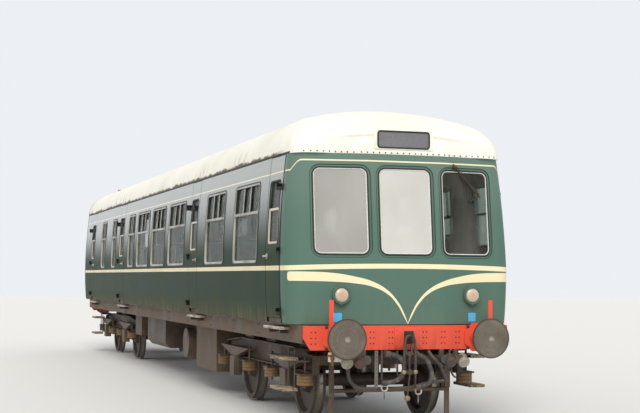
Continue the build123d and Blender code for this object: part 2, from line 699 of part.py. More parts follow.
# Buffers: an upright-barred flange and casing on the beam, and a domed head on its ram.
HEAD_BACK = BUFFER_REACH - BUFFER_HEAD_THICKNESS
CASING_END = BEAM_LEAD + BUFFER_CASING_LENGTH
with BuildPart() as buffers_front:
    for x in (-BUFFER_HALF_SPACING, BUFFER_HALF_SPACING):
        side = 1 if x > 0 else -1
        with BuildSketch(Plane.XZ.offset(-along(-BEAM_LEAD))):
            with Locations((x, up(BUFFER_HEIGHT))):
                RegularPolygon(BUFFER_FLANGE / 2, 8, major_radius=False, rotation=22.5)
        extrude(amount=BUFFER_FLANGE_PLATE)
        with BuildSketch(Plane.XZ.offset(-along(-BEAM_LEAD - BUFFER_FLANGE_PLATE))) as root:
            with Locations((x, up(BUFFER_HEIGHT))):
                Circle(BUFFER_CASING_RADIUS)
        with BuildSketch(Plane.XZ.offset(-along(-CASING_END))) as mouth:
            with Locations((x, up(BUFFER_HEIGHT))):
                Circle(BUFFER_RAM_RADIUS + BUFFER_LIP)
        loft()
        with BuildSketch(Plane.YZ.offset(side * UPRIGHT_X - UPRIGHT_WIDTH / 2)):
            with BuildLine():
                Polyline(
                    (along(-UPRIGHT_LEAD), up(BUFFER_HEIGHT)),
                    (along(-UPRIGHT_LEAD), up(UPRIGHT_TOP)),
                    (along(-UPRIGHT_LEAD + UPRIGHT_PLATE), up(UPRIGHT_TOP)),
                    (along(-UPRIGHT_LEAD + UPRIGHT_PLATE), up(BUFFER_HEIGHT)),
                    close=True)
            make_face()
        extrude(amount=UPRIGHT_WIDTH)
        with BuildSketch(Plane.XZ.offset(-along(-BEAM_LEAD - BUFFER_FLANGE_PLATE))):
            with Locations((x, up(BUFFER_HEIGHT))):
                Circle(BUFFER_RAM_RADIUS + SEAT_GAP)
        extrude(amount=BUFFER_CASING_LENGTH, mode=Mode.SUBTRACT)

with BuildPart() as buffer_heads_front:
    for x in (-BUFFER_HALF_SPACING, BUFFER_HALF_SPACING):
        with BuildSketch(Plane.XY.offset(up(BUFFER_HEIGHT))):
            with BuildLine():
                Polyline(
                    (x, along(-BUFFER_REACH)), (x, along(-BEAM_LEAD - BUFFER_FLANGE_PLATE - SEAT_GAP)),
                    (x + BUFFER_RAM_RADIUS, along(-BEAM_LEAD - BUFFER_FLANGE_PLATE - SEAT_GAP)),
                    (x + BUFFER_RAM_RADIUS, along(-HEAD_BACK)),
                    (x + BUFFER_HEAD_RADIUS, along(-HEAD_BACK)),
                    (x + BUFFER_HEAD_RADIUS, along(-BUFFER_REACH + BUFFER_HEAD_CROWN)))
                TangentArc(
                    (x, along(-BUFFER_REACH)),
                    (x + BUFFER_HEAD_RADIUS, along(-BUFFER_REACH + BUFFER_HEAD_CROWN)), tangent=(1, 0))
            make_face()
        revolve(axis=Axis((x, 0, up(BUFFER_HEIGHT)), (0, 1, 0)))

# The rear buffers are the same, without the bars, turned end for end.
with BuildPart() as buffer_casings:
    add(buffers_front.part)
    with BuildPart(mode=Mode.PRIVATE) as plain:
        add(buffers_front.part)
        with Locations((0, along(-UPRIGHT_LEAD), up(BUFFER_HEIGHT + BUFFER_CASING_RADIUS))):
            Box(3 * UPRIGHT_X, 4 * UPRIGHT_WIDTH, 2 * UPRIGHT_TOP - 2 * BUFFER_HEIGHT,
                align=(Align.CENTER, Align.CENTER, Align.MIN), mode=Mode.SUBTRACT)
    add(mirror(plain.part, about=Plane.XZ, mode=Mode.PRIVATE))
save(buffer_casings.part, "buffer_casings")

with BuildPart() as buffer_heads:
    add(buffer_heads_front.part)
    mirror(about=Plane.XZ)
save(buffer_heads.part, "buffer_heads")

# Drawgear: a pad in the beam's slot, the hook, and the screw coupling hanging from it.
with BuildPart() as drawgear_front:
    with Locations((0, along(-BEAM_LEAD), up(BUFFER_HEIGHT))):
        Box(DRAW_PAD_WIDTH, DRAW_PAD_PLATE, DRAW_PAD_HEIGHT,
            align=(Align.CENTER, Align.MAX, Align.CENTER))
        Box(HOOK_SHANK, BEAM_PLATE, HOOK_SHANK, align=(Align.CENTER, Align.MIN, Align.CENTER))
    with BuildSketch(Plane.YZ.offset(-HOOK_WIDTH / 2)):
        with BuildLine():
            Polyline(*[(along(-BEAM_LEAD - reach), up(BUFFER_HEIGHT + rise))
                       for reach, rise in HOOK_OUTLINE], close=True)
        make_face()
    extrude(amount=HOOK_WIDTH)
    for x in (-LINK_HALF_SPACING, LINK_HALF_SPACING):
        with BuildSketch(Plane.XY.offset(up(LINK_TOP))):
            with Locations((x, along(-LINK_LEAD))):
                Circle(LINK_RADIUS)
        extrude(amount=-LINK_LENGTH)
    with Locations((0, along(-LINK_LEAD), up(LINK_TOP)),
                   (0, along(-LINK_LEAD), up(LINK_TOP - LINK_LENGTH))):
        Cylinder(LINK_RADIUS, 2 * LINK_HALF_SPACING + 2 * TRUNNION_REACH, rotation=(0, 90, 0))
    with Locations((-LINK_HALF_SPACING - TRUNNION_REACH, along(-LINK_LEAD), up(LINK_TOP - LINK_LENGTH)),
                   (LINK_HALF_SPACING + TRUNNION_REACH, along(-LINK_LEAD), up(LINK_TOP - LINK_LENGTH))):
        Sphere(TRUNNION_RADIUS)
    with Locations((0, along(-LINK_LEAD), up(LINK_TOP - LINK_LENGTH))):
        Cylinder(LINK_RADIUS, TOMMY_LENGTH, align=(Align.CENTER, Align.CENTER, Align.MAX))
    with Locations((0, along(-LINK_LEAD), up(LINK_TOP - LINK_LENGTH - TOMMY_LENGTH))):
        Sphere(TRUNNION_RADIUS * 1.3)
with BuildPart() as drawgear:
    add(drawgear_front.part)
    mirror(about=Plane.XZ)
save(drawgear.part, "drawgear")

# Roof ventilators: low rounded cowls in two rows.
roof_block = roof_solid(0, DOME_STATIONS)
with BuildPart() as roof_ventilators:
    for number in range(VENTILATOR_COUNT):
        for x in (-VENTILATOR_X, VENTILATOR_X):
            with Locations((x, along(VENTILATOR_START + number * VENTILATOR_PITCH), up(CROWN_HEIGHT))):
                Box(VENTILATOR_WIDTH, VENTILATOR_LENGTH, 2 * VENTILATOR_RISE)
    top = roof_ventilators.faces().group_by(Axis.Z)[-1]
    chamfer(top.edges(), VENTILATOR_RISE * 0.45)
    add(roof_block, mode=Mode.SUBTRACT)
save(roof_ventilators.part, "roof_ventilators")

# Marker lamps: short barrels on the nose with a bezel and a domed lens.
with BuildPart() as marker_lamps:
    for x in (-LAMP_X, LAMP_X):
        with BuildSketch(Plane.XZ.offset(-along(-LAMP_LEAD))):
            with Locations((x, up(LAMP_HEIGHT))):
                Circle(LAMP_RADIUS)
        extrude(amount=-2 * LAMP_LEAD - NOSE_LEAD)
        with BuildSketch(Plane.XZ.offset(-along(-LAMP_LEAD))):
            with Locations((x, up(LAMP_HEIGHT))):
                Circle(LAMP_LENS_RADIUS)
        extrude(amount=LAMP_LENS_PROUD)
    add(nose_skin, mode=Mode.SUBTRACT)
save(marker_lamps.part, "marker_lamps")

# Destination box: a flat-fronted box let into the dome above the centre windscreen.
with BuildPart() as destination_box:
    with BuildSketch(Plane.XZ.offset(-along(BLIND_FACE))):
        with Locations((0, up((BLIND_BOTTOM + BLIND_TOP) / 2))):
            RectangleRounded(2 * BLIND_HALF_WIDTH, BLIND_TOP - BLIND_BOTTOM, BLIND_RADIUS)
    extrude(amount=-BLIND_DEPTH)
    add(roof_block, mode=Mode.SUBTRACT)
save(destination_box.part, "destination_box")

# Wiper: a boss on the nose, an arm and a blade down the +X windscreen.
with BuildPart() as wiper:
    sweep_back = tan(radians(NOSE_SWEEP))
    pivot_y = along(nose_setback(WIPER_PIVOT[1]) + (WIPER_PIVOT[0] - NOSE_FLAT_HALF) * sweep_back)
    tip_y = along(nose_setback(WIPER_TIP[1]) + (WIPER_TIP[0] - NOSE_FLAT_HALF) * sweep_back)
    with BuildSketch(Plane.XZ.offset(-pivot_y + WIPER_STAND_OFF)):
        with Locations((WIPER_PIVOT[0], up(WIPER_PIVOT[1]))):
            Circle(WIPER_BOSS_RADIUS)
    extrude(amount=-2 * WIPER_STAND_OFF)
    add(nose_skin, mode=Mode.SUBTRACT)
    with BuildLine() as arm_line:
        arm = Line((WIPER_PIVOT[0], pivot_y - WIPER_STAND_OFF + WIPER_ARM_RADIUS, up(WIPER_PIVOT[1])),
                   (WIPER_TIP[0], tip_y - WIPER_STAND_OFF + WIPER_ARM_RADIUS, up(WIPER_TIP[1])))
    with BuildSketch(Plane(origin=arm @ 0, z_dir=arm % 0)) as arm_section:
        Circle(WIPER_ARM_RADIUS)
    sweep(arm_section.sketch, arm_line.line)
save(wiper.part, "wiper")

# Footboards: timber treads on the solebars under each door.
with BuildPart() as footboards:
    for start, end, hinge, low, high in DOORS.values():
        middle = along((start + end) / 2)
        length = end - start + 2 * FOOTBOARD_OVERHANG
        with Locations((-SOLEBAR_HALF_WIDTH, middle, up(FOOTBOARD_HEIGHT))):
            Box(FOOTBOARD_REACH, length, FOOTBOARD_PLANK, align=(Align.MAX, Align.CENTER, Align.MAX))
        for offset in (-length / 3, length / 3):
            with Locations((-SOLEBAR_HALF_WIDTH, middle + offset, up(FOOTBOARD_HEIGHT - FOOTBOARD_PLANK))):
                Box(FOOTBOARD_REACH * 0.7, FOOTBOARD_BRACKET, FOOTBOARD_BRACKET * 2,
                    align=(Align.MAX, Align.CENTER, Align.MAX))
    mirror(about=Plane.YZ)
save(footboards.part, "footboards")

# Door leaves: a skin flush with the body side and an inner layer that stops on the lips.
# Hinge knuckles of the leaf stand on one upright axis outside the body.
HINGE_X = -(WAIST_HALF_WIDTH + HINGE_STAND_OFF)
KNUCKLE_STEP = HINGE_BARREL_HEIGHT / 2


def hinge_arm(height, station, reach, mode=Mode.ADD):
    """A hinge arm from the axis to the body skin, and past it by the skin's thickness."""
    inward = -HINGE_X - side_x(height) + DOOR_SKIN / 2
    with Locations((HINGE_X, along(station), up(height))):
        Box(inward, abs(reach), HINGE_BARREL_HEIGHT,
            align=(Align.MIN, Align.MIN if reach > 0 else Align.MAX, Align.CENTER), mode=mode)


for name, (start, end, hinge, low, high) in DOORS.items():
    hinge_station = start if hinge < 0 else end
    front_gap, rear_gap = (DOOR_GAP, DOOR_FREE_GAP) if hinge < 0 else (DOOR_FREE_GAP, DOOR_GAP)
    front_rebate, rear_rebate = (0, DOOR_REBATE) if hinge < 0 else (DOOR_REBATE, 0)
    leaf_bottom = DOOR_BOTTOM + DOOR_GAP
    leaf_top = GUTTER_HEIGHT - DOOR_GAP
    with BuildPart() as leaf:
        side_band(0, DOOR_SKIN, leaf_bottom, leaf_top, start + front_gap, end - rear_gap)
        side_band(DOOR_SKIN, DOOR_LEAF, leaf_bottom, leaf_top,
                  start + front_gap + front_rebate, end - rear_gap - rear_rebate)
        with BuildSketch(Plane.YZ.offset(-WAIST_HALF_WIDTH - WALL)):
            with Locations((along((start + end) / 2), up((low + high) / 2))):
                RectangleRounded(end - start - 2 * DOOR_WINDOW_MARGIN, high - low, FRAME_WIDTH)
        extrude(amount=4 * WALL, mode=Mode.SUBTRACT)
        for height in HINGE_HEIGHTS:
            hinge_arm(height, hinge_station, hinge * -HINGE_ARM_REACH)
            with Locations((HINGE_X, along(hinge_station), up(height))):
                Cylinder(HINGE_BARREL_RADIUS, HINGE_BARREL_HEIGHT)
                Cylinder(HINGE_PIN_RADIUS + HINGE_PIN_CLEARANCE, 2 * HINGE_BARREL_HEIGHT,
                         mode=Mode.SUBTRACT)
        handle_station = start + HANDLE_INSET if hinge > 0 else end - HANDLE_INSET
        with Locations((-side_x(HANDLE_HEIGHT) + SEAT_GAP, along(handle_station), up(HANDLE_HEIGHT))):
            Box(HANDLE_REACH, HANDLE_BOSS, HANDLE_BOSS, align=(Align.MAX, Align.CENTER, Align.CENTER))
        with Locations((-side_x(HANDLE_HEIGHT) - HANDLE_REACH / 2, along(handle_station), up(HANDLE_HEIGHT))):
            Box(HANDLE_BAR, HANDLE_LENGTH, HANDLE_BAR, align=(Align.MAX, Align.CENTER, Align.CENTER))
    both_sides(name, leaf.part)
    with BuildPart() as pane:
        side_band(GLASS_INSET, GLASS_INSET + GLASS, low - FRAME_WIDTH, high + FRAME_WIDTH, start, end)
        with BuildSketch(Plane.YZ.offset(-WAIST_HALF_WIDTH - WALL)):
            with Locations((along((start + end) / 2), up((low + high) / 2))):
                RectangleRounded(end - start - 2 * DOOR_WINDOW_MARGIN, high - low, FRAME_WIDTH)
        extrude(amount=4 * WALL, mode=Mode.INTERSECT)
    both_sides(f"{name}_glass", pane.part)

# Hinge brackets: on the body, a barrel below each of the leaf's, with the pin standing in it.
with BuildPart() as hinge_brackets:
    for start, end, hinge, low, high in DOORS.values():
        hinge_station = start if hinge < 0 else end
        for height in HINGE_HEIGHTS:
            low_knuckle = height - HINGE_BARREL_HEIGHT - HINGE_KNUCKLE_GAP
            inward = -HINGE_X - side_x(low_knuckle) + WALL / 2
            with Locations((HINGE_X, along(hinge_station), up(low_knuckle))):
                Box(inward, HINGE_ARM_REACH, HINGE_BARREL_HEIGHT,
                    align=(Align.MIN, Align.MIN if hinge > 0 else Align.MAX, Align.CENTER))
                Cylinder(HINGE_BARREL_RADIUS, HINGE_BARREL_HEIGHT)
                Cylinder(HINGE_PIN_RADIUS, HINGE_BARREL_HEIGHT * 1.6,
                         align=(Align.CENTER, Align.CENTER, Align.MIN))
    add(body_core.part, mode=Mode.SUBTRACT)
    mirror(about=Plane.YZ)
save(hinge_brackets.part, "hinge_brackets")


# Underfloor blocks, hung face to face from the cross members.
def hang_blocks(rows):
    """Blocks from the cross members down, one for each row of a table."""
    for side, inner, outer, start, end, bottom in rows:
        with Locations((side * (inner + outer) / 2, along((start + end) / 2), up(CROSS_MEMBER_BOTTOM))):
            Box(outer - inner, end - start, CROSS_MEMBER_BOTTOM - bottom,
                align=(Align.CENTER, Align.CENTER, Align.MAX))


with BuildPart() as engines:
    hang_blocks(ENGINES)
    low_edges = engines.edges().filter_by(Axis.Y).group_by(Axis.Z)[0]
    chamfer(low_edges, ENGINE_CORNER)
save(engines.part, "engines")

with BuildPart() as underfloor_equipment:
    hang_blocks(UNDERFLOOR_BOXES)
    with Locations((-(TANK_INNER + TANK_OUTER) / 2, along(TANK_STATION), up(TANK_HEIGHT))):
        Cylinder(TANK_RADIUS, TANK_OUTER - TANK_INNER, rotation=(0, 90, 0))
    with Locations((-(TANK_INNER + TANK_OUTER) / 2, along(CROSS_MEMBER_STATIONS[3]), up(CROSS_MEMBER_BOTTOM))):
        Box((TANK_OUTER - TANK_INNER) / 2, TANK_HANGER, CROSS_MEMBER_BOTTOM - TANK_HEIGHT,
            align=(Align.CENTER, Align.CENTER, Align.MAX))
save(underfloor_equipment.part, "underfloor_equipment")

# Exhaust pipes: from below the rear beam up the end wall to open mouths above the roof.
with BuildPart() as exhaust_pipes:
    pipe_y = along(BODY_LENGTH + EXHAUST_STAND_OFF)
    for x in (-EXHAUST_X, EXHAUST_X):
        with BuildLine() as route:
            FilletPolyline(
                (x, pipe_y - EXHAUST_RUN, up(EXHAUST_BOTTOM)), (x, pipe_y, up(EXHAUST_BOTTOM)),
                (x, pipe_y, up(EXHAUST_TOP)), radius=EXHAUST_BEND)
        with BuildSketch(Plane(origin=route.line @ 0, z_dir=route.line % 0)) as ring:
            Circle(EXHAUST_RADIUS)
        sweep(ring.sketch, route.line)
        for height in EXHAUST_BRACKETS:
            with Locations((x, along(BODY_LENGTH), up(height))):
                Box(EXHAUST_RADIUS, EXHAUST_STAND_OFF, EXHAUST_RADIUS / 2,
                    align=(Align.CENTER, Align.MIN, Align.CENTER))
save(exhaust_pipes.part, "exhaust_pipes")


# Front pipework: jumper heads and the stubs and parked heads of the two hoses.
def hose_point(point):
    """Place of a route point of a hose: x, lead ahead of the front datum, height."""
    x, lead, height = point
    return (x, along(-lead), up(height))


def hose_end(inner, outer):
    """A round fitting that meets a hose's end face, beyond `outer` in line with the last run."""
    start = Vector(*hose_point(outer))
    direction = (start - Vector(*hose_point(inner))).normalized()
    with BuildSketch(Plane(origin=start, z_dir=direction)) as collar:
        Circle(HOSE_RADIUS + HOSE_COLLAR)
    extrude(collar.sketch, amount=HOSE_FITTING)


with BuildPart() as front_pipework:
    for x in JUMPER_XS:
        with Locations((x, along(-BEAM_LEAD + BEAM_PLATE / 2), up(BEAM_BOTTOM))):
            Box(JUMPER_RADIUS, BEAM_PLATE, BEAM_BOTTOM - JUMPER_HEIGHT,
                align=(Align.CENTER, Align.CENTER, Align.MAX))
        with Locations((x, along(-BEAM_LEAD + BEAM_PLATE), up(JUMPER_HEIGHT))):
            Cylinder(JUMPER_RADIUS, JUMPER_LENGTH, rotation=(90, 0, 0),
                     align=(Align.CENTER, Align.CENTER, Align.MIN))
    for route in (HOSE_LEFT, HOSE_RIGHT):
        hose_end(route[1], route[0])
        hose_end(route[-2], route[-1])
        x, lead, height = route[0]
        with Locations((x - HOSE_FITTING / 2, along(-lead), up(height))):
            Box(HOSE_STRAP, lead - BEAM_LEAD + BEAM_PLATE, HOSE_STRAP,
                align=(Align.CENTER, Align.MIN, Align.CENTER))
        with Locations((x - HOSE_FITTING / 2, along(-BEAM_LEAD + BEAM_PLATE / 2), up(BEAM_BOTTOM))):
            Box(HOSE_STRAP, HOSE_STRAP / 2, BEAM_BOTTOM - height,
                align=(Align.CENTER, Align.CENTER, Align.MAX))
        x, lead, height = route[-1]
        with Locations((x - HOSE_FITTING / 2, along(-lead), up(height))):
            Box(HOSE_STRAP / 2, lead - BEAM_LEAD + BEAM_PLATE, HOSE_STRAP,
                align=(Align.CENTER, Align.MIN, Align.CENTER))
        with Locations((x - HOSE_FITTING / 2, along(-BEAM_LEAD + BEAM_PLATE / 2), up(BEAM_BOTTOM))):
            Box(HOSE_STRAP / 2, HOSE_STRAP / 2, BEAM_BOTTOM - height,
                align=(Align.CENTER, Align.CENTER, Align.MAX))
save(front_pipework.part, "front_pipework")

for name, route in (("hose_left", HOSE_LEFT), ("hose_right", HOSE_RIGHT)):
    points = [Vector(*hose_point(point)) for point in route]
    runs = [after - before for before, after in zip(points, points[1:])]
    radii = [0.45 * min(one.length, two.length) / tan(radians(one.get_angle(two)) / 2)
             for one, two in zip(runs, runs[1:])]
    print(name, "radii", [round(radius) for radius in radii])
    with BuildPart() as hose:
        with BuildLine() as path:
            FilletPolyline(*points, radius=radii)
        with BuildSketch(Plane(origin=path.line @ 0, z_dir=path.line % 0)) as tube:
            Circle(HOSE_RADIUS)
        sweep(tube.sketch, path.line)
    print(name, "volume over section times length",
          round(hose.part.volume / (path.wire().length * tube.sketch.area), 4))
    save(hose.part, name)

# Seats: benches either side of a gangway, in facing pairs.
with BuildPart() as seats:
    for station, facing in SEATS:
        for side in (-1, 1):
            outer = side_x(DOOR_BOTTOM, WALL) - SEAT_PLINTH / 4
            with BuildSketch(Plane.YZ.offset(side * SEAT_INNER)):
                with BuildLine():
                    Polyline(*[(along(station + facing * run), up(DOOR_BOTTOM + rise)) for run, rise in (
                        (0, 0), (0, SEAT_BACK_HEIGHT), (SEAT_BACK, SEAT_BACK_HEIGHT),
                        (SEAT_BACK * 1.6, SEAT_HEIGHT), (SEAT_BACK + SEAT_DEPTH, SEAT_HEIGHT),
                        (SEAT_BACK + SEAT_DEPTH, SEAT_HEIGHT - SEAT_PLINTH),
                        (SEAT_BACK + SEAT_PLINTH, SEAT_HEIGHT - SEAT_PLINTH), (SEAT_BACK + SEAT_PLINTH, 0),
                    )], close=True)
                make_face()
            extrude(amount=side * (outer - SEAT_INNER))
save(seats.part, "seats")

# Cab desk: under the windscreens, with its top sloping to the driver.
with BuildPart() as cab_desk:
    front = nose_setback(SILL_HEIGHT) + WALL
    with BuildSketch(Plane.YZ.offset(-DESK_HALF_WIDTH)):
        with BuildLine():
            Polyline(
                (along(front), up(DOOR_BOTTOM)), (along(front), up(DESK_HEIGHT)),
                (along(front + DESK_DEPTH * 0.7), up(DESK_HEIGHT)),
                (along(front + DESK_DEPTH), up(DESK_HEIGHT - DESK_DEPTH / 3)),
                (along(front + DESK_DEPTH), up(DOOR_BOTTOM)), close=True)
        make_face()
    extrude(amount=2 * DESK_HALF_WIDTH)
    add(nose_solid(WALL + SEAT_GAP), mode=Mode.INTERSECT)

# Screens: full partitions across the saloons, with a doorway and two windows each.
with BuildPart() as screens:
    for station in SCREENS:
        with BuildSketch(Plane.XZ.offset(-along(station + SCREEN_THICKNESS))):
            with BuildLine():
                side_arcs(DOOR_BOTTOM, GUTTER_HEIGHT, WALL + SEAT_GAP, -1)
                side_arcs(DOOR_BOTTOM, GUTTER_HEIGHT, WALL + SEAT_GAP, 1)
                for height in (DOOR_BOTTOM, GUTTER_HEIGHT):
                    half = side_x(height, WALL + SEAT_GAP)
                    Line((-half, up(height)), (half, up(height)))
            make_face()
            add(Plane.XZ.offset(-along(BODY_LENGTH)).to_local_coords(
                dome_face(BODY_LENGTH, ROOF_WALL + SEAT_GAP)))
            with Locations((0, up(DOOR_BOTTOM))):
                Rectangle(2 * SCREEN_DOOR_HALF_WIDTH, SCREEN_DOOR_TOP - DOOR_BOTTOM,
                          align=(Align.CENTER, Align.MIN), mode=Mode.SUBTRACT)
            inner, outer, low, high = SCREEN_WINDOW
            with Locations((-(inner + outer) / 2, up((low + high) / 2)),
                           ((inner + outer) / 2, up((low + high) / 2))):
                RectangleRounded(outer - inner, high - low, FRAME_WIDTH, mode=Mode.SUBTRACT)
        extrude(amount=SCREEN_THICKNESS)
    add(cab_desk.part)
save(screens.part, "screens_and_desk")

# Bogies.
def bogie_y(bogie, station):
    """Y of a station along a bogie, measured from its centre."""
    return along(bogie + station)


def frame_outline(inset):
    """Outline points of a side frame, drawn in by an inset, from its centre to one end."""
    return ((-FRAME_HALF_LENGTH + inset, FRAME_BOTTOM + inset),
            (-FRAME_HALF_LENGTH + inset, FRAME_END_TOP - inset),
            (-WHEELBASE / 2, FRAME_TOP - inset),
            (WHEELBASE / 2, FRAME_TOP - inset),
            (FRAME_HALF_LENGTH - inset, FRAME_END_TOP - inset),
            (FRAME_HALF_LENGTH - inset, FRAME_BOTTOM + inset))


AXLE_STATIONS = (-WHEELBASE / 2, WHEELBASE / 2)
HANGER_STATIONS = [axle + side * SPRING_HALF_SPAN for axle in AXLE_STATIONS for side in (-1, 1)]
FRAME_DEPTH_X = FRAME_OUTER_X - FRAME_INNER_X
for number, bogie in enumerate(BOGIE_STATIONS, 1):
    with BuildPart() as bogie_frame:
        for inset, plane_x, depth, mode in (
                (0, FRAME_INNER_X, FRAME_DEPTH_X, Mode.ADD),
                (FRAME_RIM, FRAME_INNER_X + FRAME_WEB, FRAME_DEPTH_X, Mode.SUBTRACT)):
            with BuildSketch(Plane.YZ.offset(plane_x)):
                with BuildLine():
                    Polyline(*[(bogie_y(bogie, station), up(height))
                               for station, height in frame_outline(inset)], close=True)
                make_face()
            extrude(amount=depth, mode=mode)
        for axle in AXLE_STATIONS:
            for side in (-1, 1):
                with Locations((FRAME_INNER_X, bogie_y(
                        bogie, axle + side * (AXLEBOX_WIDTH / 2 + HORN_CLEARANCE)), up(HORN_BOTTOM))):
                    Box(SPRING_X - FRAME_INNER_X, HORN_WIDTH, FRAME_BOTTOM + HORN_LAP - HORN_BOTTOM,
                        align=(Align.MIN, Align.MIN if side > 0 else Align.MAX, Align.MIN))
        for station in HANGER_STATIONS:
            with Locations((FRAME_INNER_X, bogie_y(bogie, station), up(POT_TOP))):
                Box(SPRING_X + POT_RADIUS - FRAME_INNER_X, POT_BRACKET_LENGTH, POT_BRACKET,
                    align=(Align.MIN, Align.CENTER, Align.MIN))
            with Locations((SPRING_X, bogie_y(bogie, station), up(POT_TOP))):
                Hole(HANGER_RADIUS + HORN_CLEARANCE, depth=POT_BRACKET * 4)
        mirror(about=Plane.YZ)
        with Locations((0, bogie_y(bogie, 0), up(TRANSOM_BOTTOM))):
            Box(2 * FRAME_INNER_X, 2 * TRANSOM_HALF_LENGTH, TRANSOM_TOP - TRANSOM_BOTTOM,
                align=(Align.CENTER, Align.CENTER, Align.MIN))
        for side in (-1, 1):
            with Locations((0, bogie_y(bogie, side * FRAME_HALF_LENGTH), up(STRETCHER_BOTTOM))):
                Box(2 * FRAME_INNER_X, STRETCHER_WIDTH, FRAME_END_TOP - STRETCHER_BOTTOM,
                    align=(Align.CENTER, Align.MAX if side > 0 else Align.MIN, Align.MIN))
        with BuildSketch(Plane.XY.offset(up(TRANSOM_BOTTOM))):
            with Locations((0, bogie_y(bogie, 0))):
                Circle(PIVOT_RADIUS + PIVOT_CLEARANCE)
        extrude(amount=TRANSOM_TOP, mode=Mode.SUBTRACT)
    save(bogie_frame.part, f"bogie_{number}_frame")

    # Suspension: axlebox, leaf spring standing on it, hanger rods and rubber pots, in one unit.
    with BuildPart() as suspension:
        leaf_height = (SPRING_TOP - SPRING_BOTTOM) / SPRING_LEAVES
        for axle in AXLE_STATIONS:
            y = bogie_y(bogie, axle)
            with Locations((AXLEBOX_INNER, y, up(SPRING_BOTTOM))):
                Box(AXLEBOX_OUTER - AXLEBOX_INNER, AXLEBOX_WIDTH, SPRING_BOTTOM - AXLEBOX_BOTTOM,
                    align=(Align.MIN, Align.CENTER, Align.MAX))
            for number_leaf in range(SPRING_LEAVES):
                share = number_leaf / (SPRING_LEAVES - 1)
                half = SPRING_SHORTEST + share * (SPRING_HALF_SPAN + SPRING_SHORTEST / 3 - SPRING_SHORTEST)
                with Locations((SPRING_X, y, up(SPRING_BOTTOM + number_leaf * leaf_height))):
                    Box(SPRING_WIDTH, 2 * half, leaf_height,
                        align=(Align.CENTER, Align.CENTER, Align.MIN))
            for side in (-1, 1):
                with Locations((SPRING_X, y + side * SPRING_HALF_SPAN, up(HANGER_BOTTOM))):
                    Cylinder(HANGER_RADIUS, SPRING_TOP + HANGER_RADIUS * 2 - HANGER_BOTTOM,
                             align=(Align.CENTER, Align.CENTER, Align.MIN))
                with Locations((SPRING_X, y + side * SPRING_HALF_SPAN, up(POT_TOP))):
                    Cylinder(POT_RADIUS, POT_HEIGHT, align=(Align.CENTER, Align.CENTER, Align.MAX))
            with Locations((AXLEBOX_INNER, y, up(WHEEL_RADIUS))):
                Cylinder(JOURNAL_RADIUS + JOURNAL_CLEARANCE, JOURNAL_END + JOURNAL_CLEARANCE - AXLEBOX_INNER,
                         rotation=(0, 90, 0), align=(Align.CENTER, Align.CENTER, Align.MIN),
                         mode=Mode.SUBTRACT)
        mirror(about=Plane.YZ)
    save(suspension.part, f"bogie_{number}_suspension")

    # Fittings: the two-level step at the outer end, and on the leading bogie the guard irons.
    outward = 1 if number == 1 else -1
    with BuildPart() as fittings:
        step_y = bogie_y(bogie, outward * BOGIE_STEP_STATION)
        for height in BOGIE_STEP_HEIGHTS:
            with Locations((BOGIE_STEP_INNER, step_y, up(height))):
                Box(BOGIE_STEP_OUTER - BOGIE_STEP_INNER, BOGIE_STEP_LENGTH, BOGIE_STEP_PLANK,
                    align=(Align.MIN, Align.CENTER, Align.MAX))
        for side in (-1, 1):
            strap_y = step_y + side * BOGIE_STEP_LENGTH / 4
            with Locations((BOGIE_STEP_INNER, strap_y, up(FRAME_TOP))):
                Box(BOGIE_STRAP_PLATE, BOGIE_STRAP_WIDTH,
                    FRAME_TOP - BOGIE_STEP_HEIGHTS[1] + BOGIE_STEP_PLANK,
                    align=(Align.MAX, Align.CENTER, Align.MAX))
            with Locations((BOGIE_STEP_INNER, strap_y, up(FRAME_TOP))):
                Box(BOGIE_STEP_INNER - FRAME_OUTER_X + BOGIE_STRAP_WIDTH, BOGIE_STRAP_WIDTH,
                    BOGIE_STRAP_WIDTH, align=(Align.MAX, Align.CENTER, Align.MAX))
        add(bogie_frame.part, mode=Mode.SUBTRACT)
        mirror(about=Plane.YZ)
        if number == 1:
            guard_y = bogie_y(bogie, -FRAME_HALF_LENGTH)
            for x in (-GUARD_IRON_X, GUARD_IRON_X):
                with Locations((x, guard_y, up(FRAME_END_TOP))):
                    Box(GUARD_IRON_WIDTH, GUARD_IRON_PLATE, FRAME_END_TOP - GUARD_IRON_BOTTOM,
                        align=(Align.CENTER, Align.MAX, Align.MAX))
            with Locations((0, guard_y - GUARD_IRON_PLATE / 2, up(GUARD_TUBE_HEIGHT))):
                Cylinder(GUARD_TUBE_RADIUS, 2 * GUARD_IRON_X, rotation=(0, 90, 0))
    save(fittings.part, f"bogie_{number}_fittings")

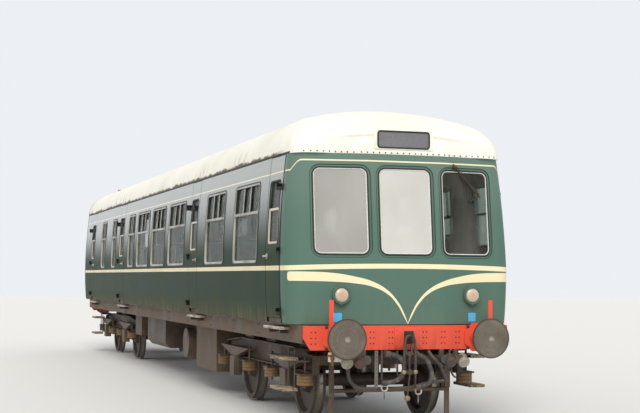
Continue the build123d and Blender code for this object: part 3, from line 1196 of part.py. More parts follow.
# Wheelsets: a pair of flanged wheels on their axle.
wheel_back = BACK_TO_BACK / 2
wheel_face = wheel_back + TYRE_WIDTH
tread_start = wheel_back + FLANGE_WIDTH
web_middle = (wheel_back + wheel_face) / 2
hub_start, hub_end = web_middle - HUB_LENGTH / 2, web_middle + HUB_LENGTH / 2
rim_inside = WHEEL_RADIUS - RIM_THICKNESS
axle_places = [bogie + axle for bogie in BOGIE_STATIONS for axle in AXLE_STATIONS]
for number, place in enumerate(axle_places, 1):
    centre = (along(place), up(WHEEL_RADIUS))
    with BuildPart() as wheels:
        with BuildSketch(Plane.XY.offset(centre[1])):
            with BuildLine():
                Polyline(*[(x, centre[0] + radius) for x, radius in (
                    (hub_start, AXLE_RADIUS), (hub_start, HUB_RADIUS),
                    (web_middle - WHEEL_WEB / 2, HUB_RADIUS + WHEEL_WEB),
                    (web_middle - WHEEL_WEB / 2, rim_inside - WHEEL_WEB),
                    (wheel_back, rim_inside), (wheel_back, WHEEL_RADIUS + FLANGE_DEPTH - TREAD_TAPER),
                    (wheel_back + FLANGE_WIDTH * 0.4, WHEEL_RADIUS + FLANGE_DEPTH),
                    (tread_start, WHEEL_RADIUS), (wheel_face, WHEEL_RADIUS - TREAD_TAPER),
                    (wheel_face, rim_inside), (web_middle + WHEEL_WEB / 2, rim_inside - WHEEL_WEB),
                    (web_middle + WHEEL_WEB / 2, HUB_RADIUS + WHEEL_WEB),
                    (hub_end, HUB_RADIUS), (hub_end, AXLE_RADIUS),
                )], close=True)
            make_face()
        revolve(axis=Axis((0, centre[0], centre[1]), (1, 0, 0)))
        mirror(about=Plane.YZ)
    save(wheels.part, f"wheelset_{number}_wheels")
    with BuildPart() as axle_shaft:
        with Locations((0, centre[0], centre[1])):
            Cylinder(AXLE_RADIUS, 2 * JOURNAL_START, rotation=(0, 90, 0))
            Cylinder(JOURNAL_RADIUS, 2 * JOURNAL_END, rotation=(0, 90, 0))
    save(axle_shaft.part, f"wheelset_{number}_axle")
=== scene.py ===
import math

import bmesh
import bpy
import numpy as np
from mathutils import Matrix, Vector


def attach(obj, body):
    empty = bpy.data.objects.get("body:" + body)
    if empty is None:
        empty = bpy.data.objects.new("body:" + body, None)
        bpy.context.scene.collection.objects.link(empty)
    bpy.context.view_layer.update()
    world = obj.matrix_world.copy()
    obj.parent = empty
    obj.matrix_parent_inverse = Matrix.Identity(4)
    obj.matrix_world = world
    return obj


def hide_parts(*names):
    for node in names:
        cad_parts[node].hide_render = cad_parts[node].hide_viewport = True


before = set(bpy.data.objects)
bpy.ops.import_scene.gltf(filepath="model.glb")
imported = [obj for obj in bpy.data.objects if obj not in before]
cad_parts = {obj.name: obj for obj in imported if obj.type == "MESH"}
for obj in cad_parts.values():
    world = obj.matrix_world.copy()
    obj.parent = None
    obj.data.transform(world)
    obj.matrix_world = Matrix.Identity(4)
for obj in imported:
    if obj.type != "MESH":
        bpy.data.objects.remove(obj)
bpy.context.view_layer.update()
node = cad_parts

# Viewpoint: low, to the left of the coach and ahead of its cab, through a long lens.
# The place, heading and lens were worked out from the known sizes of the coach.
EYE = Vector((-5.563, -22.895, 1.749))
HEADING = math.radians(17.686)
TILT = math.radians(3.125)
ROLL = math.radians(0.3745)
LENS = 73.3
FILM = 36.0
VIEW_REACH = 300

ahead = Vector((
    math.sin(HEADING) * math.cos(TILT), math.cos(HEADING) * math.cos(TILT), math.sin(TILT)))
level = ahead.cross(Vector((0, 0, 1))).normalized()
upright = level.cross(ahead)
right = level * math.cos(ROLL) + upright * math.sin(ROLL)
over = upright * math.cos(ROLL) - level * math.sin(ROLL)
camera_data = bpy.data.cameras.new("viewpoint")
camera_data.lens = LENS
camera_data.sensor_width = FILM
camera_data.clip_end = VIEW_REACH
camera = bpy.data.objects.new("viewpoint", camera_data)
camera.matrix_world = Matrix.Translation(EYE) @ Matrix((right, over, -ahead)).transposed().to_4x4()
bpy.context.scene.collection.objects.link(camera)
bpy.context.scene.camera = camera


# Daylight: an even, bright overcast sky, and a little sun from high over the viewpoint.
# The lamps are soft, so that colours come out about as they are written.
SKY_STRENGTH = 0.72
SKY_SEEN_STRENGTH = 0.94
SUN_STRENGTH = 2.1
SUN_SPREAD = math.radians(35)
SUN_TURN = (math.radians(50), 0, math.radians(-20))


def srgb(red, green, blue):
    """A screen colour, 0 to 255 a channel, as the linear colour of a shader socket."""
    seen = np.array((red, green, blue)) / 255
    linear = np.where(seen <= 0.04045, seen / 12.92, ((seen + 0.055) / 1.055) ** 2.4)
    return (*linear.tolist(), 1.0)


def put(tree, kind, inputs=(), **settings):
    """Adds a shader node. Each input is named or numbered, and gets a value, an amount or a socket."""
    made = tree.nodes.new("ShaderNode" + kind)
    for title, value in settings.items():
        setattr(made, title, value)
    for title, value in dict(inputs).items():
        value = getattr(value, "socket", value)
        if isinstance(value, bpy.types.NodeSocket):
            tree.links.new(value, made.inputs[title])
        else:
            made.inputs[title].default_value = value
    return made


class Amount:
    """A number that a shader works out at each point. A sum of amounts makes the maths nodes for it."""

    def __init__(self, socket):
        self.socket = socket
        self.tree = socket.id_data

    def reckon(self, operation, *others, clamp=False):
        """The result of one maths node, which takes this amount first."""
        values = enumerate((self, *others))
        return Amount(put(self.tree, "Math", values, operation=operation, use_clamp=clamp).outputs[0])

    def __add__(self, other):
        return self.reckon("ADD", other)

    def __sub__(self, other):
        return self.reckon("SUBTRACT", other)

    def __rsub__(self, other):
        return self.reckon("MULTIPLY_ADD", -1.0, other)

    def __mul__(self, other):
        return self.reckon("MULTIPLY", other)

    def __truediv__(self, other):
        return self.reckon("DIVIDE", other)

    def __abs__(self):
        return self.reckon("ABSOLUTE")

    def held(self):
        """This amount, kept between 0 and 1."""
        return self.reckon("ADD", 0.0, clamp=True)

    def above(self, level):
        """1 where this amount is more than a level, and 0 elsewhere."""
        return self.reckon("GREATER_THAN", level)

    def most(self, other):
        """The greater of two amounts."""
        return self.reckon("MAXIMUM", other)


world = bpy.data.worlds.new("overcast_sky")
world.use_nodes = True
bpy.context.scene.world = world
sky_tree = world.node_tree
sky_tree.nodes.clear()
ray = put(sky_tree, "LightPath").outputs
sky_seen = Amount(ray["Is Camera Ray"]).most(ray["Is Glossy Ray"]).most(ray["Is Transmission Ray"])
sky_power = put(sky_tree, "Mix", {0: sky_seen, 2: SKY_STRENGTH, 3: SKY_SEEN_STRENGTH})
sky_light = put(sky_tree, "Background", {"Color": srgb(243, 246, 250), "Strength": sky_power.outputs[0]})
put(sky_tree, "OutputWorld", {"Surface": sky_light.outputs[0]})

sun_data = bpy.data.lights.new("hazy_sun", "SUN")
sun_data.energy = SUN_STRENGTH
sun_data.angle = SUN_SPREAD
sun_data.color = srgb(255, 250, 240)[:3]
sun = bpy.data.objects.new("hazy_sun", sun_data)
sun.rotation_euler = SUN_TURN
bpy.context.scene.collection.objects.link(sun)


# Studio floor: a plain pale sheet under the wheel flanges, which takes the coach's shadow.
# It isn't part of the coach.
FLOOR_REACH = 90.0


def ring(points):
    """Vertices and faces of a tube of rings: rows are rings, columns go round and close.
    Two ends drawn in to a point make it a closed shape, whose faces are turned outwards."""
    rows, columns = points.shape[:2]
    first = (np.arange(rows - 1)[:, None] * columns + np.arange(columns)).ravel()
    beside = (np.arange(rows - 1)[:, None] * columns + np.roll(np.arange(columns), -1)).ravel()
    faces = np.stack([first, beside, beside + columns, first + columns], axis=1)
    places = points.reshape(-1, 3)
    a, b, c, d = (places[faces[:, corner]] for corner in range(4))
    volume = np.einsum("ij,ij->i", a, np.cross(b, c)) + np.einsum("ij,ij->i", a, np.cross(c, d))
    return places, faces[:, ::-1] if volume.sum() < 0 else faces


def sheet(points):
    """Vertices and faces of an open grid of points, whose faces look along rows cross columns."""
    rows, columns = points.shape[:2]
    first = (np.arange(rows - 1)[:, None] * columns + np.arange(columns - 1)).ravel()
    faces = np.stack([first, first + columns, first + columns + 1, first + 1], axis=1)
    return points.reshape(-1, 3), faces


def built(name, shapes, finish, crease=35):
    """A mesh object of several shapes, with its seams merged and its creases kept sharp."""
    starts = np.cumsum([0] + [len(places) for places, faces in shapes])
    faces = np.concatenate([faces + start for (places, faces), start in zip(shapes, starts)])
    mesh = bpy.data.meshes.new(name)
    mesh.from_pydata(np.concatenate([places for places, _ in shapes]).tolist(), [], faces.tolist())
    work = bmesh.new()
    work.from_mesh(mesh)
    bmesh.ops.remove_doubles(work, verts=work.verts, dist=1e-6)
    work.to_mesh(mesh)
    work.free()
    mesh.polygons.foreach_set("use_smooth", np.ones(len(mesh.polygons), bool))
    mesh.set_sharp_from_angle(angle=math.radians(crease))
    mesh.materials.append(finish)
    thing = bpy.data.objects.new(name, mesh)
    bpy.context.scene.collection.objects.link(thing)
    return thing


def shader(name, **plain):
    """A material with one Principled shader, whose plain sockets are set by name."""
    made = bpy.data.materials.new(name)
    made.use_nodes = True
    surface = made.node_tree.nodes["Principled BSDF"]
    for title, value in plain.items():
        surface.inputs[title.replace("_", " ")].default_value = value
    return made, made.node_tree, surface


def feed(made, **values):
    """Joins amounts and colours to the inputs of a shader or of an effect's end, by name."""
    for title, value in values.items():
        made.id_data.links.new(getattr(value, "socket", value), made.inputs[title.replace("_", " ")])


def blended(factor, first, second):
    """Two colours mixed by an amount."""
    return put(factor.tree, "Mix", {0: factor, 6: first, 7: second}, data_type="RGBA").outputs[2]


floor_paint, floor_tree, floor_surface = shader("studio_floor", Roughness=0.9)
floor_clouds = Amount(put(floor_tree, "TexNoise", {"Scale": 0.6, "Detail": 3.0}).outputs[0])
feed(floor_surface, Base_Color=blended(floor_clouds, srgb(226, 225, 222), srgb(236, 235, 232)))
floor_edge = np.linspace(-FLOOR_REACH, FLOOR_REACH, 3)
floor_points = np.stack([*np.meshgrid(floor_edge, floor_edge, indexing="ij"), np.zeros((3, 3))], axis=-1)
studio_floor = built("studio_floor", [sheet(floor_points)], floor_paint)


# Wheelsets: pressed steel wheels shrunk on to forged axles, with coned treads and thin flanges.
# The treads are polished by running, and everything else is coated in brown brake dust.
# These iron and dust colours are darker than the dust itself: painted shade from under the coach, on the
# wheels, bogies and steps.
DUST_BROWN_AND_SHADE = srgb(88, 73, 60)
OLD_IRON_AND_SHADE = srgb(48, 42, 38)
RUST = srgb(122, 74, 48)
BRIGHT_STEEL = srgb(142, 136, 128)
TREAD_RADIUS = 0.457
FLANGE_DEPTH = 0.028
AXLE_HEIGHT = TREAD_RADIUS + FLANGE_DEPTH
BOGIE_Y = (-6.096, 6.096)
WHEELBASE = 2.591
LINING_EDGE = 0.002
RELIEF_DEPTH = 0.002
FINISH = {"Colour": "Color", "Roughness": "Float", "Height": "Float"}


def fade(value, start, end):
    """A smooth step that is 0 where an amount is at start and 1 where it is at end."""
    inputs = {0: value, 1: start, 2: end}
    return Amount(put(value.tree, "MapRange", inputs, interpolation_type="SMOOTHSTEP").outputs[0])


def split(vector):
    """The X, Y and Z of a vector, as amounts."""
    return [Amount(part) for part in put(vector.id_data, "SeparateXYZ", {0: vector}).outputs]


def surface_place(tree):
    """The X, Y and Z of each point of the surface, in the coach's own frame."""
    return split(put(tree, "TexCoord").outputs["Object"])


def distance(across, lift):
    """How far a point lies from a line, by the root of its two squares."""
    return (across * across + lift * lift).reckon("SQRT")


def speckle(tree, scale, detail=4.0, stretch=(1, 1, 1)):
    """Noise over the object's own coordinates, drawn out along an axis where its stretch is small."""
    place = put(tree, "TexCoord").outputs["Object"]
    drawn = put(tree, "VectorMath", {0: place, 1: stretch}, operation="MULTIPLY").outputs[0]
    return Amount(put(tree, "TexNoise", {"Vector": drawn, "Scale": scale, "Detail": detail}).outputs[0])


def effect(name, wanted, given=FINISH):
    """An empty shader node group with named inputs, each with its default, and named outputs."""
    tree = bpy.data.node_groups.new(name, "ShaderNodeTree")
    for title, value in wanted.items():
        kind = "NodeSocketColor" if isinstance(value, tuple) else "NodeSocketFloat"
        tree.interface.new_socket(title, in_out="INPUT", socket_type=kind).default_value = value
    for title, kind in given.items():
        tree.interface.new_socket(title, in_out="OUTPUT", socket_type="NodeSocket" + kind)
    source = tree.nodes.new("NodeGroupInput").outputs
    return tree, {title: Amount(source[title]) for title in wanted}, tree.nodes.new("NodeGroupOutput")


def applied(tree, group, **values):
    """The outputs of an effect that is placed in a material with its own values."""
    return put(tree, "Group", values, node_tree=group).outputs


def dressed(names, finish):
    """Gives CAD nodes a finish, in place of the plain one that they came with."""
    for name in names:
        for slot in node[name].material_slots:
            slot.material = finish


def relief(tree, height, strength, depth):
    """The normals of a surface that is raised by a height."""
    return put(tree, "Bump", {"Height": height, "Strength": strength, "Distance": depth}).outputs[0]


def finished(tree, surface, outputs, bump):
    """Joins an effect's colour, roughness and height to a material's shader."""
    feed(surface, Base_Color=outputs["Colour"], Roughness=outputs["Roughness"],
         Normal=relief(tree, outputs["Height"], bump, RELIEF_DEPTH))


def dusty_iron():
    """Old ironwork: a ground colour under clouds of brake dust, with rust breaking through in spots."""
    tree, given, out = effect(
        "dusty_iron", {"Iron": OLD_IRON_AND_SHADE, "Dust": DUST_BROWN_AND_SHADE, "Rust": RUST, "Dusting": 0.5, "Rusting": 0.2})
    spots = speckle(tree, 13.0, 6.0)
    grit = speckle(tree, 90.0, 3.0)
    dust = (speckle(tree, 2.6, 5.0) * 2.4 - 1.2 + given["Dusting"]).held()
    rust = (given["Rusting"] * 1.4 + (spots * 4.0 - 2.5)).held()
    colour = blended(rust, blended(dust, given["Iron"], given["Dust"]), given["Rust"])
    toned = put(tree, "VectorMath", {0: colour, "Scale": grit * 0.7 + 0.62}, operation="SCALE").outputs[0]
    feed(out, Colour=toned, Roughness=dust * 0.35 + 0.48, Height=spots * 0.6 + grit)
    return tree


iron_tree = dusty_iron()


def iron(name, ground, dust, dusting, rusting, metallic=0.0):
    """Old ironwork of one ground colour and one colour of dust."""
    finish, tree, surface = shader(name, Metallic=metallic)
    outputs = applied(tree, iron_tree, Iron=ground, Dust=dust, Dusting=dusting, Rusting=rusting)
    finished(tree, surface, outputs, 0.35)
    return finish


stripe_tree, stripe_in, stripe_out = effect(
    "stripe", {"Across": 0.0, "Low": 0.0, "High": 0.1}, {"Mask": "Float"})
stripe_above = stripe_in["Across"] - stripe_in["Low"]
stripe_below = stripe_in["High"] - stripe_in["Across"]
feed(stripe_out, Mask=(stripe_above.reckon("MINIMUM", stripe_below) / LINING_EDGE).held())


def stripe(across, low, high):
    """1 where an amount lies between two values, with a fine soft edge."""
    return Amount(applied(across.tree, stripe_tree, Across=across, Low=low, High=high)[0])


def wheel_steel(name, axle_y):
    """Dusty wheel steel whose tread, found by its distance from the axle, is polished."""
    finish, tree, surface = shader(name)
    outputs = applied(tree, iron_tree, Dusting=0.45, Rusting=0.1)
    finished(tree, surface, outputs, 0.3)
    x, y, z = surface_place(tree)
    polished = stripe(distance(y - axle_y, z - AXLE_HEIGHT), TREAD_RADIUS - 0.004, TREAD_RADIUS + 0.003)
    feed(surface, Base_Color=blended(polished, outputs["Colour"], BRIGHT_STEEL), Metallic=polished,
         Roughness=(polished * -0.5 + outputs["Roughness"]).held())
    return finish


axle_iron = iron("axle_iron", OLD_IRON_AND_SHADE, DUST_BROWN_AND_SHADE, 0.4, 0.2)
for number in range(4):
    axle_y = BOGIE_Y[number // 2] + (number % 2 - 0.5) * WHEELBASE
    dressed([f"wheelset_{number + 1}_wheels"], wheel_steel(f"wheel_steel_{number + 1}", axle_y))
    dressed([f"wheelset_{number + 1}_axle"], axle_iron)


# Bogies: riveted and welded steel frames, coated in brake dust, that swivel under the body.
# The leaf springs hang from them in rubber pots, held by banded sheet metal sleeves.
POT_X = 1.02
POT_TOP = 0.598
POT_HEIGHT = 0.12
POT_RADIUS = 0.0925
SLEEVE_BANDS = 3
SLEEVE_DISH = 0.004
BAND_PROUD = 0.006
BAND_GAP = 0.001
HANGER_OFFSETS = (0.5755, 2.0155)


def full_turn(sides):
    """Angles that go once round, in even steps, as a column."""
    return np.linspace(0, 2 * math.pi, sides, endpoint=False)[:, None]


def lathe(profile, centre, axis, sides=24):
    """A turned shape: rows of (radius, distance along the axis) go round the axis from a centre."""
    axis = np.array(axis, float)
    side = np.cross(axis, (0, 0, 1) if abs(axis[2]) < 0.9 else (0, 1, 0))
    side /= np.linalg.norm(side)
    spoke = np.cos(full_turn(sides)) * side + np.sin(full_turn(sides)) * np.cross(axis, side)
    radius, reach = np.array(profile, float).T
    return ring(np.array(centre) + radius[:, None, None] * spoke + (reach[:, None] * axis)[:, None, :])


def copies(shape, offsets):
    """The same shape again at each offset."""
    places, faces = shape
    offsets = np.atleast_2d(np.array(offsets, float))
    starts = np.arange(len(offsets))[:, None, None] * len(places)
    return (places + offsets[:, None, :]).reshape(-1, 3), (faces + starts).reshape(-1, 4)


def mirrored(shape, axis=0):
    """The shape on the other side of the coach (axis 0) or at its other end (axis 1)."""
    places, faces = shape
    flip = np.ones(3)
    flip[axis] = -1
    return places * flip, faces[:, ::-1]


def paired(shapes, axis=0):
    """Shapes, and after them the same shapes on the other side or at the other end."""
    return shapes + [mirrored(shape, axis) for shape in shapes]


def part_of(name, shapes, finish, body="coach_body", crease=35):
    """A built piece that rides on a body, with the finish it is given."""
    thing = built(name, shapes, finish, crease)
    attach(thing, body)
    return thing


frame_iron = iron("bogie_frame_iron", OLD_IRON_AND_SHADE, DUST_BROWN_AND_SHADE, 0.42, 0.25)
spring_iron = iron("spring_iron", OLD_IRON_AND_SHADE, srgb(124, 104, 84), 0.5, 0.15)
sleeve_iron = iron("sleeve_iron", srgb(128, 98, 62), srgb(104, 84, 60), 0.3, 0.1)
band_edges = np.linspace(0, POT_HEIGHT, SLEEVE_BANDS + 1)
sleeve_profile = [(0, SLEEVE_DISH)]
for low, high in zip(band_edges[:-1], band_edges[1:]):
    sleeve_profile += [
        (POT_RADIUS, low), (POT_RADIUS + BAND_PROUD, low + BAND_PROUD),
        (POT_RADIUS + BAND_PROUD, high - BAND_PROUD), (POT_RADIUS, high - BAND_GAP)]
sleeve_profile += [(0, POT_HEIGHT - SLEEVE_DISH)]
sleeve = lathe(sleeve_profile, (-POT_X, 0, POT_TOP - POT_HEIGHT), (0, 0, 1))
for number, pivot_y in enumerate(BOGIE_Y, 1):
    dressed([f"bogie_{number}_frame"], frame_iron)
    dressed([f"bogie_{number}_suspension", f"bogie_{number}_fittings"], spring_iron)
    sleeves = copies(sleeve, [
        (0, pivot_y + sign * offset, 0) for offset in HANGER_OFFSETS for sign in (-1, 1)])
    part_of(f"pot_sleeves_{number}", paired([sleeves]), sleeve_iron, f"bogie_{number}")


# Steps: weathered ash boards on iron straps, for climbing up to the cab and the doors.
# The grey-brown grain is dry and dirty, and the edges are worn round by boots.
STEP_PALE = srgb(176, 160, 134)
STEP_DARK = srgb(98, 82, 64)
STEP_THICKNESS = 0.036
STEP_PROUD = 0.002
STEP_X = (1.110, 1.303)
STEP_LEVELS = (0.808, 0.448)
STEP_LENGTH = 0.526
STEP_CENTRES = {1: BOGIE_Y[0] - 1.747, 2: BOGIE_Y[1] + 1.747}
FOOTBOARD_X = (1.272, 1.402)
FOOTBOARD_TOP = 1.175
FOOTBOARD_THICKNESS = 0.032
FOOTBOARD_PAST_DOOR = 0.042
DOOR_SPANS = {
    "cab_door": (-8.263, -7.663), "door_1": (-3.783, -3.183),
    "door_2": (3.087, 3.707), "door_3": (7.187, 7.797),
}


def board(low, high, edge=0.006):
    """A board with rounded edges: rectangles that shrink towards both faces, stacked upwards."""
    low, high = np.array(low, float), np.array(high, float)
    centre, half = (low + high) / 2, (high - low) / 2
    corners = np.array([(-1, -1), (1, -1), (1, 1), (-1, 1)], float)
    steps = [(half[:2], 0), (edge, 0), (0.3 * edge, 0.3 * edge), (0, edge)]
    rows = [
        np.column_stack([centre[:2] + corners * (half[:2] - inset),
                         np.full(4, centre[2] + way * (half[2] - drop))])
        for way, run in ((-1, steps), (1, steps[::-1])) for inset, drop in run]
    return ring(np.array(rows))


def weathered_timber():
    """Dry wood: dark lines of grain that run along the coach, and patches of dirt."""
    tree, given, out = effect("weathered_timber", {"Pale": STEP_PALE, "Dark": STEP_DARK})
    line = fade(speckle(tree, 5.0, 6.0, (16, 0.9, 16)), 0.42, 0.62)
    patch = fade(speckle(tree, 4.0), 0.4, 0.8)
    colour = blended((patch * 0.5 + line).held(), given["Pale"], given["Dark"])
    feed(out, Colour=colour, Roughness=line * 0.1 + 0.78, Height=1.0 - line)
    return tree


timber_tree = weathered_timber()


def timber(name, pale, dark):
    """Weathered wood of two colours."""
    finish, tree, surface = shader(name)
    finished(tree, surface, applied(tree, timber_tree, Pale=pale, Dark=dark), 0.6)
    return finish


step_timber = timber("step_timber", STEP_PALE, STEP_DARK)
for number, centre in STEP_CENTRES.items():
    boards = [
        board((STEP_X[0], centre - STEP_LENGTH / 2, level - STEP_THICKNESS),
              (STEP_X[1], centre + STEP_LENGTH / 2, level + STEP_PROUD))
        for level in STEP_LEVELS]
    part_of(f"step_boards_{number}", paired(boards), step_timber, f"bogie_{number}")
dressed(["footboards"], iron("footboard_iron", OLD_IRON_AND_SHADE, DUST_BROWN_AND_SHADE, 0.5, 0.2))
treads = [
    board((FOOTBOARD_X[0], start - FOOTBOARD_PAST_DOOR, FOOTBOARD_TOP - FOOTBOARD_THICKNESS),
          (FOOTBOARD_X[1], end + FOOTBOARD_PAST_DOOR, FOOTBOARD_TOP))
    for start, end in DOOR_SPANS.values()]
part_of("footboard_treads", paired(treads), timber("tread_timber", srgb(206, 200, 184), srgb(132, 124, 108)))


# Underframe: rolled steel solebars and cross members, riveted, and brown with brake dust.
# Under it hang the engines, battery boxes, tank and cylinders.
SOLEBAR_X = 1.27
SOLEBAR_LEVELS = (1.048, 1.158)
RIVET_RADIUS = 0.011
RIVET_STEPS = (-0.06, 0, 0.06)
RIVET_GROUPS = (-8.35, -6.9, -5.6, -4.2, -2.6, -1.1, 0.4, 1.9, 3.4, 4.9, 6.2, 7.6, 8.45)


def dome(centre, axis, radius, rise=0.6):
    """A rivet or bolt head: a shallow dome with a flat foot."""
    turn = np.linspace(0, math.pi / 2, 4)
    profile = [(0, -0.002), (radius, -0.002)]
    profile += list(zip(radius * np.cos(turn), rise * radius * np.sin(turn)))
    return lathe(profile, centre, axis, 10)


# The solebars' colours are darkened in the same way, as painted shade under the body.
underframe_iron_and_shade = iron("underframe_iron_and_shade", srgb(66, 54, 44), srgb(114, 93, 72), 0.5, 0.2)
dressed(["solebars", "cross_members"], underframe_iron_and_shade)
solebar_rivets = copies(dome((-SOLEBAR_X, 0, 0), (-1, 0, 0), RIVET_RADIUS), [
    (0, y + step, level) for y in RIVET_GROUPS for step in RIVET_STEPS for level in SOLEBAR_LEVELS])
part_of("solebar_rivets", paired([solebar_rivets]), underframe_iron_and_shade)
dressed(["engines"], iron("engine_iron", srgb(64, 58, 54), srgb(104, 88, 74), 0.4, 0.25))
dressed(["underfloor_equipment"], iron("box_iron", srgb(70, 59, 48), srgb(108, 90, 70), 0.45, 0.15))
dressed(["exhaust_pipes"], iron("exhaust_iron", srgb(74, 58, 50), srgb(108, 84, 68), 0.4, 0.6))


# Buffer beams: thick steel plates across both ends, in orange-red paint, with rows of rivets.
# The buffers are bolted to them, and the drawhook comes through the middle.
BEAM_RED = srgb(232, 84, 58)
BEAM_GRIME = srgb(120, 62, 44)
BODY_END = 8.763
BEAM_FACE = BODY_END + 0.06
BEAM_RIVET_X = (0.19, 0.23, 0.42, 0.46, 0.60, 0.64, 1.12, 1.17)
BEAM_RIVET_LEVELS = (1.0, 1.065, 1.13)
BEAM_RIVET_RADIUS = 0.009
BUFFER_X = 0.87
BUFFER_HEIGHT = 1.066
FLANGE_THICKNESS = 0.022
BOLT_REACH = 0.125
BOLT_RADIUS = 0.02


def grimy_paint():
    """Paint under a film of grime that thickens and runs in streaks from a head down to a foot."""
    tree, given, out = effect("grime", {
        "Paint": BEAM_RED, "Grime": BEAM_GRIME, "Foot": 0.9, "Head": 1.3, "Amount": 0.5, "Gloss": 0.3})
    x, y, z = surface_place(tree)
    runs = fade(speckle(tree, 4.0, 6.0, (5, 5, 0.35)), 0.42, 0.68) * 0.75 + 0.25
    clouds = fade(speckle(tree, 1.3, 5.0), 0.35, 0.8)
    film = clouds * 0.22 + fade(z, given["Head"], given["Foot"]) * runs
    mask = (film * given["Amount"]).held()
    feed(out, Colour=blended(mask, given["Paint"], given["Grime"]),
         Roughness=(mask * 0.55 + given["Gloss"]).held(), Height=mask * speckle(tree, 60.0))
    return tree


grime_tree = grimy_paint()


def paint(name, colour, grime, foot, head, amount, gloss):
    """Grimy paint on steel or wood."""
    finish, tree, surface = shader(name)
    outputs = applied(tree, grime_tree, Paint=colour, Grime=grime, Foot=foot, Head=head, Amount=amount,
                      Gloss=gloss)
    finished(tree, surface, outputs, 0.25)
    return finish


def both_hands(across, levels):
    """Places at each distance across and each level, on the left and on the right."""
    return [(sign * x, 0, level) for x in across for sign in (-1, 1) for level in levels]


beam_red = paint("beam_red", BEAM_RED, BEAM_GRIME, 0.85, 1.35, 0.45, 0.42)
dressed(["buffer_beams", "buffer_casings"], beam_red)
beam_rivets = copies(dome((0, -BEAM_FACE, 0), (0, -1, 0), BEAM_RIVET_RADIUS),
                     both_hands(BEAM_RIVET_X, BEAM_RIVET_LEVELS))
flange_bolts = copies(dome((0, -BEAM_FACE - FLANGE_THICKNESS, 0), (0, -1, 0), BOLT_RADIUS, 0.8), both_hands(
    (BUFFER_X - BOLT_REACH, BUFFER_X + BOLT_REACH), (BUFFER_HEIGHT - BOLT_REACH, BUFFER_HEIGHT + BOLT_REACH)))
part_of("beam_rivets", paired([beam_rivets, flange_bolts], 1),
        iron("rivet_iron", srgb(88, 36, 28), srgb(52, 34, 30), 0.5, 0.2))


# Buffer heads: forged steel discs, never painted, because their faces rub in use.
# They are greasy grey-brown, scuffed in rings, with a bright spot in the middle.
HEAD_GREY = srgb(112, 106, 96)
HEAD_BROWN = srgb(84, 70, 56)
HEAD_SPOT = srgb(146, 138, 126)


def buffer_steel():
    """Greasy steel whose scuffs, bright spot and dark edge go by the distance from a head's middle."""
    finish, tree, surface = shader("head_steel", Metallic=0.2)
    outputs = applied(tree, iron_tree, Iron=HEAD_GREY, Dust=HEAD_BROWN, Rust=srgb(92, 72, 54), Dusting=0.4,
                      Rusting=0.15)
    finished(tree, surface, outputs, 0.4)
    x, y, z = surface_place(tree)
    radius = distance(abs(x) - BUFFER_X, z - BUFFER_HEIGHT)
    outwards = put(tree, "CombineXYZ", {0: radius}).outputs[0]
    rings = Amount(put(tree, "TexNoise", {"Vector": outwards, "Scale": 46.0, "Detail": 3.0}).outputs[0])
    scuff = fade(rings, 0.5, 0.66) * fade(speckle(tree, 7.0), 0.3, 0.7)
    spot = fade(speckle(tree, 26.0) * 0.06 + radius, 0.068, 0.040)
    base = blended(fade(radius, 0.205, 0.226), outputs["Colour"], srgb(58, 50, 42))
    feed(surface, Base_Color=blended((scuff * 0.4).most(spot), base, HEAD_SPOT))
    return finish


dressed(["buffer_heads"], buffer_steel())


# Drawgear: a forged hook through the beam, with a screw coupling hung up in its throat.
# Steel worn bright at the edges, under oily dust, with the trunnions' balls rubbed yellow.
HOOK_LINE = ((-0.01, 0.0, 0.035), (0.045, 0.0, 0.035), (0.095, -0.004, 0.035), (0.130, -0.020, 0.036),
             (0.156, -0.022, 0.033), (0.174, -0.002, 0.029), (0.176, 0.036, 0.023), (0.163, 0.068, 0.016),
             (0.150, 0.084, 0.008))
HOOK_FLATTEN = 0.6
PAD_HALF, PAD_PLATE, PAD_LIFT = 0.165, 0.012, 0.122
PAD_BOLT_X, PAD_BOLT_RADIUS = 0.14, 0.011
PAD_BOLT_LIFTS = (-0.09, 0, 0.09)
OPENING_HALF, OPENING_LIFT, OPENING_PROUD = 0.055, 0.075, 0.0015
COUPLING_X = -0.035
COUPLING_Y = -BEAM_FACE - 0.145
SCREW_Y = COUPLING_Y + 0.012
PIN_Y, PIN_Z = -BEAM_FACE - 0.09, 1.062
TRUNNION_Z = 0.885
NUT_Z = 0.680
SHACKLE_LINE = ((-0.070, 0.0, NUT_Z), (-0.070, -0.006, 0.860), (-0.062, -0.008, 1.000),
                (-0.046, -0.006, 1.082), (0.0, -0.004, 1.098), (0.046, -0.006, 1.082),
                (0.062, -0.008, 1.000), (0.070, -0.006, 0.860), (0.070, 0.0, NUT_Z))
SHACKLE_RADIUS = 0.016
COUPLING_BARS = (
    ((-0.05, PIN_Y, PIN_Z), (0.05, PIN_Y, PIN_Z), 0.017),
    ((-0.034, PIN_Y, PIN_Z), (-0.034, SCREW_Y, TRUNNION_Z), 0.013),
    ((0.034, PIN_Y, PIN_Z), (0.034, SCREW_Y, TRUNNION_Z), 0.013),
    ((-0.052, SCREW_Y, TRUNNION_Z), (0.052, SCREW_Y, TRUNNION_Z), 0.018),
    ((0, SCREW_Y, 0.915), (0, SCREW_Y, 0.850), 0.027),
    ((0, COUPLING_Y, 0.715), (0, COUPLING_Y, 0.645), 0.030),
    ((-0.07, COUPLING_Y, NUT_Z), (0.07, COUPLING_Y, NUT_Z), 0.018),
    ((0, COUPLING_Y, 0.655), (-0.028, COUPLING_Y, 0.395), 0.009))
COUPLING_BALLS = ((-0.07, NUT_Z, 0.029), (0.07, NUT_Z, 0.029), (-0.028, 0.383, 0.034))
SCREW_TOP, SCREW_LENGTH = 0.86, 0.18
SCREW_CORE, SCREW_CREST, SCREW_PITCH = 0.014, 0.018, 0.012


def corners_of(mesh):
    """The places of a mesh's vertices, one row for each."""
    places = np.zeros(len(mesh.vertices) * 3)
    mesh.vertices.foreach_get("co", places)
    return places.reshape(-1, 3)


